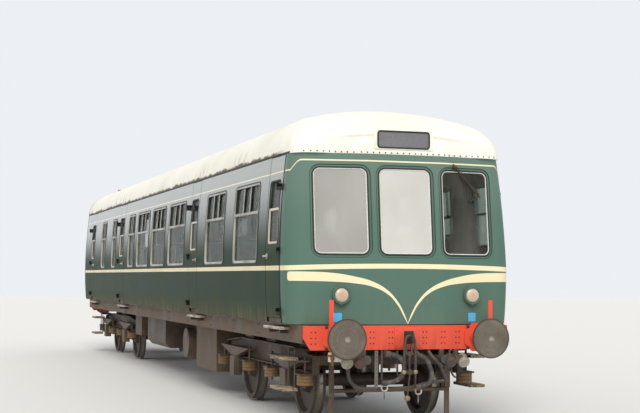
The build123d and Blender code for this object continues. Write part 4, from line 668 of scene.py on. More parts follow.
def along_route(points, name):
    """The smooth line through a route: a NURBS curve with the route as its control points."""
    curve = bpy.data.curves.new(name, "CURVE")
    curve.dimensions = "3D"
    curve.resolution_u = 64
    line = curve.splines.new("NURBS")
    line.points.add(len(points) - 1)
    line.points.foreach_set("co", np.column_stack([points, np.ones(len(points))]).ravel())
    line.order_u = 3
    line.use_endpoint_u = True
    holder = bpy.data.objects.new(name, curve)
    places = corners_of(bpy.data.meshes.new_from_object(holder))
    bpy.data.objects.remove(holder)
    bpy.data.curves.remove(curve)
    return places


def tube(path, radius, sides=12, reference=(0, 1, 0)):
    """A tube round a path: a circle in the plane across each point, of one radius or one for each."""
    tangent = np.gradient(path, axis=0)
    tangent /= np.linalg.norm(tangent, axis=1)[:, None]
    side = np.cross(tangent, reference)
    side /= np.linalg.norm(side, axis=1)[:, None]
    lift = np.cross(side, tangent)
    spoke = np.cos(full_turn(sides)) * side[:, None, :] + np.sin(full_turn(sides)) * lift[:, None, :]
    reach = np.broadcast_to(radius, len(path))[:, None, None]
    return ring(np.concatenate([path[:1, None] + 0 * spoke[:1], path[:, None] + reach * spoke,
                                path[-1:, None] + 0 * spoke[:1]]))


def rod(start, end, radius):
    """A round bar between two points, with its edges rounded off."""
    start, end = np.array(start, float), np.array(end, float)
    length = float(np.linalg.norm(end - start))
    edge = 0.3 * min(radius, length)
    return lathe([(0, 0), (radius - edge, 0), (radius, edge), (radius, length - edge),
                  (radius - edge, length), (0, length)], start, (end - start) / length, 12)


def ball(centre, radius):
    """A round ball."""
    turn = np.linspace(-math.pi / 2, math.pi / 2, 9)
    profile = np.column_stack([radius * np.cos(turn), radius * np.sin(turn)])
    return lathe(profile, centre, (0, 0, 1), 16)


hook_out, hook_lift, hook_radius = np.array(HOOK_LINE).T
hook_points = np.column_stack([np.zeros(len(HOOK_LINE)), -BEAM_FACE - hook_out, BUFFER_HEIGHT + hook_lift])
hook_path = along_route(hook_points, "hook_line")
hook_shares = (np.linspace(0, 1, len(run)) for run in (hook_path, HOOK_LINE))
hook_places, hook_faces = tube(hook_path, np.interp(*hook_shares, hook_radius), 16, (1, 0, 0))
hook = (hook_places * (HOOK_FLATTEN, 1, 1), hook_faces)
shackle_path = along_route(np.array(SHACKLE_LINE) + (0, COUPLING_Y, 0), "shackle_line")
shackle = tube(shackle_path, SHACKLE_RADIUS, 14, (0, 1, 0.3))
thread = [(SCREW_CREST if step % 2 else SCREW_CORE, step * SCREW_PITCH / 2)
          for step in range(int(2 * SCREW_LENGTH / SCREW_PITCH))]
screw = lathe([(0, 0), *thread, (0, SCREW_LENGTH)], (0, SCREW_Y, SCREW_TOP), (0, 0, -1), 14)
coupling = [shackle, screw, *(rod(*bar) for bar in COUPLING_BARS)]
coupling = [copies(shape, (COUPLING_X, 0, 0)) for shape in coupling] + [hook]
balls = [ball((COUPLING_X + x, COUPLING_Y, z), radius) for x, z, radius in COUPLING_BALLS]
draw_pad = board((-PAD_HALF, -BEAM_FACE - PAD_PLATE, BUFFER_HEIGHT - PAD_LIFT),
                 (PAD_HALF, -BEAM_FACE, BUFFER_HEIGHT + PAD_LIFT))
pad_bolts = copies(dome((0, -BEAM_FACE - PAD_PLATE, BUFFER_HEIGHT), (0, -1, 0), PAD_BOLT_RADIUS),
                   both_hands((PAD_BOLT_X,), PAD_BOLT_LIFTS))
# A thin black plate stands for the hole where the hook comes through the pad: painted shade.
opening_shade = board((-OPENING_HALF, -BEAM_FACE - PAD_PLATE - OPENING_PROUD, BUFFER_HEIGHT - OPENING_LIFT),
                (OPENING_HALF, -BEAM_FACE, BUFFER_HEIGHT + OPENING_LIFT), 0.002)
draw_steel = iron("draw_steel", srgb(74, 70, 66), srgb(96, 86, 74), 0.35, 0.15, 0.5)
opening_shade_black = iron("opening_shade_black", srgb(26, 24, 23), srgb(50, 46, 42), 0.2, 0.0)
ball_steel = iron("ball_steel", srgb(150, 140, 112), srgb(120, 106, 80), 0.4, 0.05, 0.4)
coupling_piece = part_of("screw_couplings", paired(coupling, 1), draw_steel)
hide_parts("drawgear")
part_of("drawgear_pads", paired([draw_pad, pad_bolts], 1), beam_red)
part_of("drawgear_opening_shades", paired([opening_shade], 1), opening_shade_black)
part_of("coupling_balls", paired(balls, 1), ball_steel)


# Front pipework: cast jumper heads, cocks and steel pipe below the front beam, for lights and brakes.
# All of it is filmed with oily brown dirt, and the jumper covers show bare alloy.
JUMPER_X = {"alloy": (-0.775, 0.655), "iron": (-0.62, 0.49)}
JUMPER_LEAN = (0.0, -0.86, -0.51)
JUMPER_Y = -BODY_END - 0.09
JUMPER_Z = 0.83
JUMPER_PROFILE = (
    (0, 0.0), (0.058, 0.0), (0.066, 0.006), (0.066, 0.022), (0.055, 0.028), (0.055, 0.068), (0.066, 0.076),
    (0.071, 0.092), (0.066, 0.108), (0.048, 0.118), (0.040, 0.113), (0, 0.116))
PIPE_RUNS = (
    (0.021, ((0.24, -8.85, 0.915), (0.27, -8.87, 0.85), (0.34, -8.88, 0.80), (0.43, -8.88, 0.66),
             (0.46, -8.87, 0.55))),
    (0.020, ((-0.74, -8.83, 0.915), (-0.75, -8.83, 0.62), (-0.62, -8.83, 0.49), (-0.36, -8.83, 0.485),
             (0.05, -8.83, 0.49), (0.22, -8.83, 0.545), (0.46, -8.86, 0.57))),
    (0.012, ((-0.135, -8.83, 0.915), (-0.135, -8.84, 0.76), (-0.142, -8.84, 0.64), (-0.10, -8.83, 0.60))),
    (0.012, ((0.52, -8.82, 0.915), (0.52, -8.84, 0.70), (0.56, -8.83, 0.62), (0.60, -8.80, 0.60))))
PIPE_JOINTS = (((0.40, -8.885, 0.72), (0.37, -8.885, 0.775)), ((-0.66, -8.83, 0.53), (-0.60, -8.83, 0.485)))
JOINT_RADIUS = 0.028
STRIP_X, STRIP_HALF = -0.398, 0.020
STRIP_Y, STRIP_Z = (-8.856, -8.844), (0.494, 0.921)
HOLE_RADIUS = 0.007
HOLE_LEVELS = np.arange(0.53, 0.90, 0.045)
BRACKET_CORNERS = ((-0.975, -8.90, 0.800), (-0.820, -8.84, 0.905))
TAP_X, TAP_Y, TAP_Z = -0.945, -8.915, 0.872
TAP_HANDLE_HALF = 0.045
HOSE_HEADS = ((-0.315, 0.500), (0.100, 0.455))
HOSE_HEAD_Y = -8.893
HOSE_HEAD_PROFILE = ((0.026, 0.0), (0.030, 0.012), (0.042, 0.014), (0.046, 0.0), (0.042, -0.014),
                     (0.030, -0.012), (0.026, 0.0))
LINK_RADIUS, LINK_BAR, LINK_STEP = 0.014, 0.0035, 0.019
CHAIN_DROP, CHAIN_LINKS = 0.045, 5


def link_chain(points):
    """Chain links along a run of points: round bars bent to ovals, each a quarter turn from the last."""
    turn, round_bar = full_turn(10), full_turn(5)
    x_axis, y_axis, z_axis = np.eye(3)
    links = []
    for step, place in enumerate(points):
        across, side = (x_axis, y_axis) if step % 2 else (y_axis, x_axis)
        loop = LINK_RADIUS * (0.6 * np.cos(turn) * across + np.sin(turn) * z_axis)
        out = loop / np.linalg.norm(loop, axis=1)[:, None]
        rows = loop[:, None] + LINK_BAR * (np.cos(round_bar) * out[:, None] + np.sin(round_bar) * side)
        links.append(ring(np.concatenate([rows, rows[:1]]) + place))
    return links


fitting_iron = iron("fitting_iron", srgb(60, 56, 54), srgb(96, 84, 74), 0.3, 0.2)
hole_shade_black = iron("hole_shade_black", srgb(20, 20, 20), srgb(40, 38, 36), 0.2, 0.0)
jumper_alloy = iron("jumper_alloy", srgb(186, 182, 168), srgb(120, 110, 94), 0.3, 0.05, 0.4)
cock_brass = iron("cock_brass", srgb(150, 118, 62), srgb(110, 88, 60), 0.3, 0.0, 0.6)
strip_iron = iron("strip_iron", srgb(112, 108, 102), srgb(92, 84, 76), 0.4, 0.1)
coupling_alloy = iron("coupling_alloy", srgb(196, 190, 178), srgb(120, 110, 96), 0.3, 0.05, 0.5)
chain_steel = iron("chain_steel", srgb(150, 142, 130), srgb(100, 88, 74), 0.35, 0.1, 0.5)
bracket_white = paint("bracket_white", srgb(226, 220, 206), srgb(150, 138, 118), 0.7, 0.95, 0.5, 0.5)
dressed(["front_pipework"], fitting_iron)
covers = {metal: [lathe(JUMPER_PROFILE, (x, JUMPER_Y, JUMPER_Z), JUMPER_LEAN, 20) for x in places]
          for metal, places in JUMPER_X.items()}
pipes = [tube(along_route(np.array(points), "pipe_line"), radius, 12, (0, 1, 0.2))
         for radius, points in PIPE_RUNS]
pipes += [rod(*ends, JOINT_RADIUS) for ends in PIPE_JOINTS]
strip = board(*zip((STRIP_X - STRIP_HALF, STRIP_X + STRIP_HALF), STRIP_Y, STRIP_Z), 0.002)
# Flat black discs stand for the strip's holes: painted shade.
hole_shades = copies(dome((STRIP_X, STRIP_Y[0], 0), (0, -1, 0), HOLE_RADIUS, 0.1), [(0, 0, z) for z in HOLE_LEVELS])
bracket = board(*BRACKET_CORNERS, 0.004)
tap = [rod((TAP_X, TAP_Y, 0.905), (TAP_X, TAP_Y, 0.76), 0.014),
       rod((TAP_X - TAP_HANDLE_HALF, TAP_Y, TAP_Z), (TAP_X + TAP_HANDLE_HALF, TAP_Y, TAP_Z), 0.010),
       ball((TAP_X, TAP_Y, 0.84), 0.024), ball((TAP_X - TAP_HANDLE_HALF, TAP_Y, TAP_Z), 0.015)]
heads, chains = [], []
for x, z in HOSE_HEADS:
    heads.append(lathe(HOSE_HEAD_PROFILE, (x, HOSE_HEAD_Y, z), (0, 1, 0), 20))
    heads.append(rod((x, HOSE_HEAD_Y, z + 0.03), (x + 0.025, HOSE_HEAD_Y, z + 0.062), 0.018))
    chains += link_chain([(x, HOSE_HEAD_Y, z - CHAIN_DROP - LINK_STEP * step) for step in range(CHAIN_LINKS)])
for name, shapes, finish in (
        ("jumper_covers_alloy", covers["alloy"], jumper_alloy),
        ("jumper_covers_iron", covers["iron"], fitting_iron),
        ("front_pipes", pipes, fitting_iron), ("pipe_strip", [strip], strip_iron),
        ("strip_hole_shades", [hole_shades], hole_shade_black), ("tap_bracket", [bracket], bracket_white),
        ("brass_tap", tap, cock_brass), ("hose_couplings", heads, coupling_alloy)):
    part_of(name, shapes, finish)
part_of("hose_chains", chains, chain_steel, crease=60)


# Brake hoses: wire-wound black rubber, which hang in a curve from the pipes to their couplings.
# Each is pushed on to its pipe under a clip, and its far end is a cast coupling head.
HOSE_DIAMETER = 0.06
HOSE_RIB_PITCH = 0.018
HOSE_RIB_DEPTH = 0.003
HOSE_ROUTES = {
    "hose_left": ((-0.240, 0.120, 0.850), (-0.150, 0.126, 0.838), (-0.082, 0.132, 0.765),
                  (-0.070, 0.136, 0.670), (-0.112, 0.136, 0.585), (-0.195, 0.132, 0.540),
                  (-0.285, 0.128, 0.530)),
    "hose_right": ((0.090, 0.120, 0.850), (0.175, 0.126, 0.820), (0.228, 0.132, 0.745),
                   (0.262, 0.136, 0.660), (0.268, 0.136, 0.570), (0.215, 0.132, 0.500),
                   (0.130, 0.128, 0.480)),
}

hose_rubber, hose_tree, hose_surface = shader("hose_rubber", Roughness=0.6)
hose_dust = fade(speckle(hose_tree, 14.0, 5.0), 0.4, 0.75)
feed(hose_surface, Base_Color=blended(hose_dust, srgb(66, 64, 63), srgb(118, 110, 103)),
     Normal=relief(hose_tree, speckle(hose_tree, 240.0), 0.3, 0.001))
for name, route in HOSE_ROUTES.items():
    points = np.array([(x, -BODY_END - lead, height + FLANGE_DEPTH) for x, lead, height in route])
    path = along_route(points, name + "_line")
    run = np.concatenate([[0], np.cumsum(np.linalg.norm(np.diff(path, axis=0), axis=1))])
    ribs = HOSE_DIAMETER / 2 + HOSE_RIB_DEPTH * (np.cos(2 * math.pi * run / HOSE_RIB_PITCH) - 1)
    hose = part_of(name + "_rubber", [tube(path, ribs, 18)], hose_rubber, crease=80)
    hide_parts(name)


# Body sides: steel sheets welded to pillars, filled, and painted green with cream lining.
# The paint is glossy above the waist, with dust and rain streaks at its foot, and pales near the gutter as a
# painted reflection of the sky.
# The sides' green is a darker copy of the front's green: painted shade.
SHADED_BODY_GREEN = srgb(30, 54, 40)
PAINTED_SHEEN_GREEN = srgb(176, 182, 174)
BODY_GRIME = srgb(126, 120, 94)
LINING_CREAM = srgb(242, 229, 192)
SALOON_CREAM = srgb(198, 190, 168)
HINGE_AND_SHADE_BLACK = srgb(24, 26, 26)
WAIST_HALF = 1.397
WAIST_Z = 1.878
LOWER_RADIUS = 7.0412
UPPER_RADIUS = 11.5656
GUTTER_Z = 3.193
SILL_Z = 1.218
SIDE_STRIPES = ((1.830, 1.888), (2.985, 3.004))
SHUT_LINE = 0.012
# Before the cab door the black strip is broad: painted shade in the gap and step there, as well as the hinge
# line.
CAB_HINGE_AND_SHADE_STRIP = 0.045


def inward(tree, axis):
    """1 on faces that look into the coach: by the sign of x (axis 0), or towards +Y (axis 1)."""
    normal = put(tree, "NewGeometry").outputs["True Normal"]
    facing = split(put(tree, "VectorTransform", {0: normal}, vector_type="NORMAL", convert_from="WORLD",
                       convert_to="OBJECT").outputs[0])
    if axis == 1:
        return facing[1].above(0.35)
    side = surface_place(tree)[0].reckon("SIGN")
    return (facing[0] * side).reckon("LESS_THAN", -0.35)


def beyond_skin(x, z):
    """How far a point lies outside the body's curved side, as skin_x gives it."""
    rise = z - WAIST_Z
    radius = rise.above(0.0) * (UPPER_RADIUS - LOWER_RADIUS) + LOWER_RADIUS
    skin = (radius * radius - rise * rise).reckon("SQRT") + WAIST_HALF - radius
    return abs(x) - skin


def lined_green(name, lines, marks, marks_colour, axis, green, grime, shine):
    """The body's green paint, where lines(place) and marks(place) mask its cream lining and its marks.
    It is dusty and dull at its foot and keeps its gloss towards the gutter, where its colour also pales by
    shine as a painted reflection of the sky."""
    finish, tree, surface = shader(name, Coat_Roughness=0.06, Coat_IOR=2.4, Specular_IOR_Level=0.04)
    place = surface_place(tree)
    lined, marked = lines(place), marks(place)
    outputs = applied(tree, grime_tree, Paint=blended(lined, green, LINING_CREAM), Grime=BODY_GRIME,
                      Foot=1.18, Head=1.52, Amount=grime, Gloss=0.42)
    finished(tree, surface, outputs, 0.2)
    # Painted reflection: the colour pales towards the gutter to stand in for the sky's sheen.
    painted_sheen = fade(place[2], 2.4, 3.1) * (0.6 * shine) * (1.0 - lined)
    outside = blended(painted_sheen, outputs["Colour"], PAINTED_SHEEN_GREEN)
    plain = blended(inward(tree, axis), outside, SALOON_CREAM)
    feed(surface, Base_Color=blended(marked, plain, marks_colour),
         Coat_Weight=fade(place[2], 2.0, 2.8) * shine * (1.0 - marked))
    return finish


def side_lines(place):
    """The two level lines of a body side: a broad one at the waist and a thin one near the gutter."""
    waist, upper = [stripe(place[2], low, high) for low, high in SIDE_STRIPES]
    return waist.most(upper)


def side_marks(place):
    """The black of what stands proud of the skin, such as hinges, and of the strips beside the doors. The
    broad strip before the cab door is also painted shade of its gap and step.
    """
    x, y, z = place
    black = beyond_skin(x, z).above(0.003)
    for door, (start, end) in DOOR_SPANS.items():
        strip = CAB_HINGE_AND_SHADE_STRIP if door == "cab_door" else SHUT_LINE
        black = black.most(stripe(y, start - strip, start)).most(stripe(y, end - 0.004, end + 0.006))
    return black


shaded_side_green = lined_green("shaded_side_green", side_lines, side_marks, HINGE_AND_SHADE_BLACK, 0, SHADED_BODY_GREEN, 0.75, 1.0)
dressed(["body_side_left", "body_side_right"], shaded_side_green)
dressed([f"{door}_{side}" for door in DOOR_SPANS for side in ("left", "right")], shaded_side_green)


def skin_x(z):
    """Half-width of the body at a height: two arcs that meet, upright, at the waist."""
    radius = np.where(np.asarray(z) < WAIST_Z, LOWER_RADIUS, UPPER_RADIUS)
    return WAIST_HALF - radius + np.sqrt(radius ** 2 - (np.asarray(z) - WAIST_Z) ** 2)


def points_at(x, y, z):
    """Points from their three coordinates, each an array or a single number."""
    return np.stack(np.broadcast_arrays(x, y, z), axis=-1)


def left_wall(y, z, proud):
    """Points on the -X body side, or proud of it."""
    return points_at(-skin_x(z) - proud, y, z)


# Cab front: a swept and raked steel nose with rounded corners, painted as the sides are, but in a lighter
# green that is painted light on the front.
# Cream bands sweep in from both corners and meet in a point over the middle of the beam.
NOSE_LEAD = 0.055
NOSE_FLAT = 0.46
NOSE_SWEEP = math.radians(9.3)
NOSE_RAKE = 0.137
NOSE_CORNER = 0.24
# A lighter copy of the sides' green: painted light on the front.
LIT_FRONT_GREEN = srgb(88, 116, 105)
WAIST_BOW = 0.028
UPPER_STEP = 0.115
UPPER_TURN = (-8.44, -8.55)
BAND_START = -8.55
BAND_MIDDLE = 1.764
BAND_HALF = 0.054
BAND_CORNER = 0.035
BAND_POINTS = ((0.0, 0.0, 0.012), (0.055, 0.10, 0.145), (0.13, 0.225, 0.27), (0.26, 0.352, 0.40),
               (0.44, 0.432, 0.494), (0.66, 0.470, 0.552), (0.90, 0.486, 0.588), (1.18, 0.492, 0.600),
               (1.42, 0.492, 0.600))
BLUE_SQUARE_X = (0.785, 0.885)
BLUE_SQUARE_Z = (1.245, 1.348)
SQUARE_BLUE = srgb(96, 182, 232)


def nose_y(x, z):
    """Y of the nose skin at a place seen from the front: a flat middle, swept wings, round corners."""
    x, z = np.broadcast_arrays(np.abs(np.asarray(x, float)), np.asarray(z, float))
    lean = np.clip((z - WAIST_Z) / (GUTTER_Z - WAIST_Z), 0, None)
    front = -BODY_END + NOSE_RAKE * lean - NOSE_LEAD
    middle = skin_x(z) - NOSE_CORNER
    centre = front + (middle - NOSE_FLAT) * math.tan(NOSE_SWEEP) + NOSE_CORNER / math.cos(NOSE_SWEEP)
    wing = front + np.clip(x - NOSE_FLAT, 0, None) * math.tan(NOSE_SWEEP)
    depth = np.sqrt(np.clip(NOSE_CORNER ** 2 - (x - middle) ** 2, 0, None))
    return np.where(x > middle + NOSE_CORNER * math.sin(NOSE_SWEEP), centre - depth, wing)


def nose_wall(x, z, proud):
    """Points on the cab front, or proud of it."""
    return points_at(x, nose_y(x, z) - proud, z)


def drawn_curve(amount, points):
    """A smooth curve over an amount, through points whose first and last are its ends."""
    reach = points[-1][0]
    curve = put(amount.tree, "FloatCurve", {"Value": amount / reach})
    line = curve.mapping.curves[0]
    for across, height in points[1:-1]:
        line.points.new(across / reach, height)
    line.points[0].location = (0, points[0][1])
    line.points[-1].location = (1, points[-1][1])
    curve.mapping.update()
    return Amount(curve.outputs[0])


def front_lines(place):
    """The sides' two lines, of which the waist line bows up and the upper one climbs round the corner,
    and the bands, round at their start, that sweep down to the middle of the front's foot."""
    out = abs(place[0])
    band = stripe(place[2], *[
        drawn_curve(out, [(row[0], row[column]) for row in BAND_POINTS]) + SILL_Z for column in (1, 2)])
    past = (abs(place[2] - BAND_MIDDLE) - (BAND_HALF - BAND_CORNER)).most(0.0)
    round_end = (BAND_CORNER ** 2 - past * past).most(0.0).reckon("SQRT")
    held = ((round_end + (BAND_START - BAND_CORNER) - place[1]) / LINING_EDGE).held()
    bow = out * out * (-WAIST_BOW / WAIST_HALF ** 2) + WAIST_BOW
    step = fade(place[1], *UPPER_TURN) * UPPER_STEP
    waist, upper = [stripe(place[2] - lift, *span) for lift, span in zip((bow, step), SIDE_STRIPES)]
    return waist.most(upper).most(band * held)


def front_marks(place):
    """The two plain blue squares under the marker lamps."""
    return stripe(abs(place[0]), *BLUE_SQUARE_X) * stripe(place[2], *BLUE_SQUARE_Z)


lit_front_green = lined_green("lit_front_green", front_lines, front_marks, SQUARE_BLUE, 1, LIT_FRONT_GREEN, 0.2, 0.12)
dressed(["cab_front"], lit_front_green)


# Windscreens: flat glass held in black rubber in a shallow recess, with a white bead round each pane.
# Dry dust lies thick on the left and middle panes, and thin on the right one.
SCREEN_LEVELS = (2.018, 3.028)
SCREEN_SPANS = ((-1.100, -0.461), (-0.325, 0.325), (0.461, 1.100))
SCREEN_RADIUS = 0.085
GROOVE_OUT = 0.035
TRIM_IN = 0.014
DUST_BEHIND = 0.0165


def grown(span, by):
    """A span made longer by the same length at both ends."""
    return span[0] - by, span[1] + by


def rounded_loop(across, upwards, radius, corner=6, run=8):
    """Points round a rectangle with round corners, and the outward direction at each.
    Corner points lie on quarter circles, and each straight run between them is cut evenly."""
    turn = (np.arange(4)[:, None] * math.pi / 2 + np.linspace(0, math.pi / 2, corner)).ravel()
    ends = np.array([(1, 1), (0, 1), (0, 0), (1, 0)])
    middles = np.array([across, upwards]).T[ends, (0, 1)] + np.where(ends == 1, -radius, radius)
    outward = np.stack([np.cos(turn), np.sin(turn)], axis=1)
    points = np.repeat(middles, corner, axis=0) + radius * outward
    share = np.linspace(0, 1, run, endpoint=False)[:, None]
    cuts = [share if step % corner == corner - 1 else share[:1] for step in range(len(points))]
    places = [start + (end - start) * cut for start, end, cut in zip(points, np.roll(points, -1, 0), cuts)]
    ways = [way + 0 * cut for way, cut in zip(outward, cuts)]
    return np.concatenate(places), np.concatenate(ways)


def surround(across, upwards, radius, section, wall, out=0.0):
    """A strip round a window: a closed section of (outward, proud) points carried round its loop,
    which may lie some way out from the window. wall turns places on the window's plane into points."""
    points, outward = rounded_loop(grown(across, out), grown(upwards, out), radius + out)
    section = np.array(section, float)
    a = points[:, :1] + outward[:, :1] * section[:, 0]
    b = points[:, 1:] + outward[:, 1:] * section[:, 0]
    places = wall(a, b, np.broadcast_to(section[:, 1], a.shape))
    return ring(np.concatenate([places, places[:1]]))


def bead(width, low, high):
    """The section of a rubber or metal bead: a flat foot and a rounded top."""
    turn = np.linspace(0, math.pi, 7)
    top = [(width / 2 * math.cos(t), high - width / 2 + width / 2 * math.sin(t)) for t in turn]
    return [(width / 2, low), *top, (-width / 2, low)]


def glazing(name, tint, cover):
    """Thin, clean window glass of one tint, of which cover is how much it takes from the light. The tints are
    darker than clean glass: painted shade of the inside on the side windows, and a painted dark reflection on
    the windscreens.
    """
    return shader(name, Transmission_Weight=1.0, IOR=1.05, Roughness=0.02, Base_Color=tint, Alpha=cover)[0]


def dust_film(name, tone, cover):
    """Dust dried on glass, in soft clouds: cover(place) gives how much of the glass it hides."""
    finish, tree, surface = shader(name, Roughness=0.85, Base_Color=tone, Specular_IOR_Level=0.2)
    cloud = fade(speckle(tree, 1.5, 5.0, (1, 1, 0.6)), 0.3, 0.75)
    feed(surface, Alpha=(cloud * 0.1 + cover(surface_place(tree))).held())
    return finish


def pane_sheet(across, upwards, proud, wall, cuts=14):
    """A thin sheet over a pane, that looks outwards."""
    a, b = np.meshgrid(np.linspace(*across, cuts), np.linspace(*upwards, cuts), indexing="ij")
    return sheet(wall(a, b, np.full(a.shape, proud)))


def screen_cover(place):
    """The windscreens' dust: thick on the left and middle panes, thin on the right one."""
    return fade(place[0], 0.36, 0.43) * -0.67 + (fade(place[0], -0.43, -0.36) * 0.28 + 0.40)


rubber, rubber_tree, rubber_surface = shader("window_rubber", Roughness=0.55)
feed(rubber_surface, Base_Color=blended(speckle(rubber_tree, 30.0), srgb(22, 22, 23), srgb(46, 45, 43)))
pale_metal = iron("pale_metal", srgb(196, 196, 188), srgb(150, 144, 128), 0.25, 0.0, 0.6)
# The groove round each recess is a darker green than the front: painted shade at the recess's edge.
recess_shade_green = iron("recess_shade_green", srgb(38, 60, 54), srgb(52, 66, 58), 0.2, 0.0)
white_bead = iron("white_bead", srgb(224, 224, 220), srgb(190, 188, 178), 0.15, 0.0)
screen_dust = dust_film("screen_dust", srgb(228, 226, 222), screen_cover)
# The screen glass's dark tint shows through the right pane's thin dust as a painted dark reflection.
dressed(["windscreens"], glazing("screen_glass_painted_reflection", srgb(104, 116, 106), 0.6))
for name, out, section, finish, slot in (
        ("seals", 0.0, bead(0.018, -0.022, -0.001), rubber, "frame_metal"),
        ("grooves", GROOVE_OUT, bead(0.007, -0.010, 0.0015), recess_shade_green, "green_paint"),
        ("trims", -TRIM_IN, bead(0.013, -0.022, -0.008), white_bead, "frame_metal")):
    part_of(f"windscreen_{name}", [
        surround(across, SCREEN_LEVELS, SCREEN_RADIUS, section, nose_wall, out) for across in SCREEN_SPANS],
        finish)
films = [pane_sheet(across, SCREEN_LEVELS, -DUST_BEHIND, nose_wall) for across in SCREEN_SPANS]
part_of("windscreen_dust", films, screen_dust)


# Side windows: pressed aluminium frames sealed with black rubber, each with sliding lights at its top.
# The glass is thin and greenish, darkened as painted shade of the coach's inside, and shows the benches
# behind it.
WINDOW_SPANS = ((1.500, 2.750), (3.300, 4.450), (5.950, 7.250), (7.580, 8.800), (9.100, 10.320),
                (10.650, 11.330), (12.870, 13.420), (14.320, 14.900))
WINDOW_LEVELS = (1.928, 2.933)
WINDOW_RADIUS, FIXED_RADIUS, SLIDING_RADIUS = 0.070, 0.042, 0.020
SEAL_OUT = 0.004
SEAL_BEAD = bead(0.020, -0.004, 0.008)
FIXED_BEAD = bead(0.014, -0.020, 0.0)
SLIDING_BEAD = bead(0.012, -0.020, 0.0)
TRANSOM_Z = 2.563
TRANSOM_HALF = 0.014
MULLION_HALF = 0.008
FRAME_EDGE = 0.028
LIGHT_SHARES = (0, 0.36, 0.64, 1)
BAR_HALF, BAR_RADIUS = 0.010, 0.004
BAR_SECTION = ((0.004, -0.020), (0.004, 0.002), (-0.008, 0.002), (-0.008, -0.020))


def lights_of(start, end):
    """The panes of one window as (across, upwards): the fixed one below and the sliding ones above."""
    clear, (low, high) = grown((start, end), -FRAME_EDGE), grown(WINDOW_LEVELS, -FRAME_EDGE)
    cuts = clear[0] + (clear[1] - clear[0]) * np.array(LIGHT_SHARES)
    tops = [((a + MULLION_HALF, b - MULLION_HALF), (TRANSOM_Z + TRANSOM_HALF, high))
            for a, b in zip(cuts[:-1], cuts[1:])]
    return [(clear, (low, TRANSOM_Z - TRANSOM_HALF)), *tops]


side_glass_painted_shade = glazing("side_glass_painted_shade", srgb(80, 116, 94), 0.5)
dressed(["side_glazing"], side_glass_painted_shade)
dressed(["window_frames"], pale_metal)
seals, bars, beads = [], [], []
for start, end in WINDOW_SPANS:
    span = (start - BODY_END, end - BODY_END)
    seals.append(surround(span, WINDOW_LEVELS, WINDOW_RADIUS, SEAL_BEAD, left_wall, SEAL_OUT))
    fixed, *sliding = lights_of(*span)
    beads.append(surround(*fixed, FIXED_RADIUS, FIXED_BEAD, left_wall))
    seals += [surround(*pane, SLIDING_RADIUS, SLIDING_BEAD, left_wall) for pane in sliding]
    for across, upwards in sliding[:-1]:
        edge = across[1] + MULLION_HALF
        bars.append(surround(grown((edge, edge), BAR_HALF), upwards, BAR_RADIUS, BAR_SECTION, left_wall))
for name, shapes, finish in (("window_seals", seals, rubber), ("window_beads", beads, pale_metal),
                             ("light_bars", bars, pale_metal)):
    part_of(name, paired(shapes), finish)


# Doors: timber-framed leaves skinned in steel, with a drop light each, on three black hinges.
# Below the drop light, a turned handle of worn chrome stands on a round rose.
DOOR_WINDOW_MARGIN = 0.075
DOOR_LIGHT_FOOT = 2.138
DOOR_LIGHT_TOPS = {"cab_door": 2.898, "door_1": 2.918, "door_2": 2.918, "door_3": 2.918}
DROP_LIGHT_IN = 0.020
DROP_LIGHT_SHARE = 0.56
DROP_LIGHT_SECTION = ((0.012, -0.018), (0.012, -0.002), (-0.016, -0.002), (-0.016, -0.018))
HANDLE_Z = 2.003
HANDLE_INSET = 0.07
HANDLE_OUT = 0.026
HANDLE_LENGTH = 0.142
HANDLE_PROFILE = ((0, 0), (0.012, 0.0), (0.0145, 0.012), (0.0125, 0.07), (0.0145, 0.128),
                  (0.012, HANDLE_LENGTH), (0, HANDLE_LENGTH))
ROSE_PROFILE = ((0, 0), (0.034, 0.0), (0.034, 0.004), (0.026, 0.008), (0.0262, 0.016), (0, 0.016))

worn_chrome = iron("worn_chrome", srgb(208, 206, 198), srgb(120, 112, 98), 0.12, 0.0, 0.85)
ivory_paint = paint("drop_light_paint", srgb(214, 208, 190), srgb(120, 112, 92), 1.1, 3.0, 0.35, 0.4)
dressed([f"{door}_glass_{side}" for door in DOOR_SPANS for side in ("left", "right")], side_glass_painted_shade)
dressed(["hinge_brackets"], iron("hinge_iron", HINGE_AND_SHADE_BLACK, srgb(52, 50, 46), 0.15, 0.05))
for door, (start, end) in DOOR_SPANS.items():
    light = (grown((start, end), -DOOR_WINDOW_MARGIN), (DOOR_LIGHT_FOOT, DOOR_LIGHT_TOPS[door]))
    across, (low, high) = grown(light[0], -DROP_LIGHT_IN), grown(light[1], -DROP_LIGHT_IN)
    drop_levels = (low, low + DROP_LIGHT_SHARE * (high - low))
    handle_y = end - HANDLE_INSET if door == "cab_door" else start + HANDLE_INSET
    skin = -float(skin_x(HANDLE_Z))
    handle_foot = (skin - HANDLE_OUT, handle_y - HANDLE_LENGTH / 2, HANDLE_Z)
    pieces = (
        ("seal", [surround(*light, 0.05, bead(0.024, -0.004, 0.006), left_wall)], rubber, "frame_metal"),
        ("drop_light", [surround(across, drop_levels, 0.03, DROP_LIGHT_SECTION, left_wall)], ivory_paint,
         "frame_metal"),
        ("lever", [lathe(HANDLE_PROFILE, handle_foot, (0, 1, 0), 14),
                   lathe(ROSE_PROFILE, (skin, handle_y, HANDLE_Z), (-1, 0, 0), 18)], worn_chrome,
         "fitting_metal"))
    for side in ("left", "right"):
        for title, shapes, finish, slot in pieces:
            if side == "right":
                shapes = [mirrored(shape) for shape in shapes]
            part_of(f"{door}_{side}_{title}", shapes, finish, f"{door}_{side}_body")


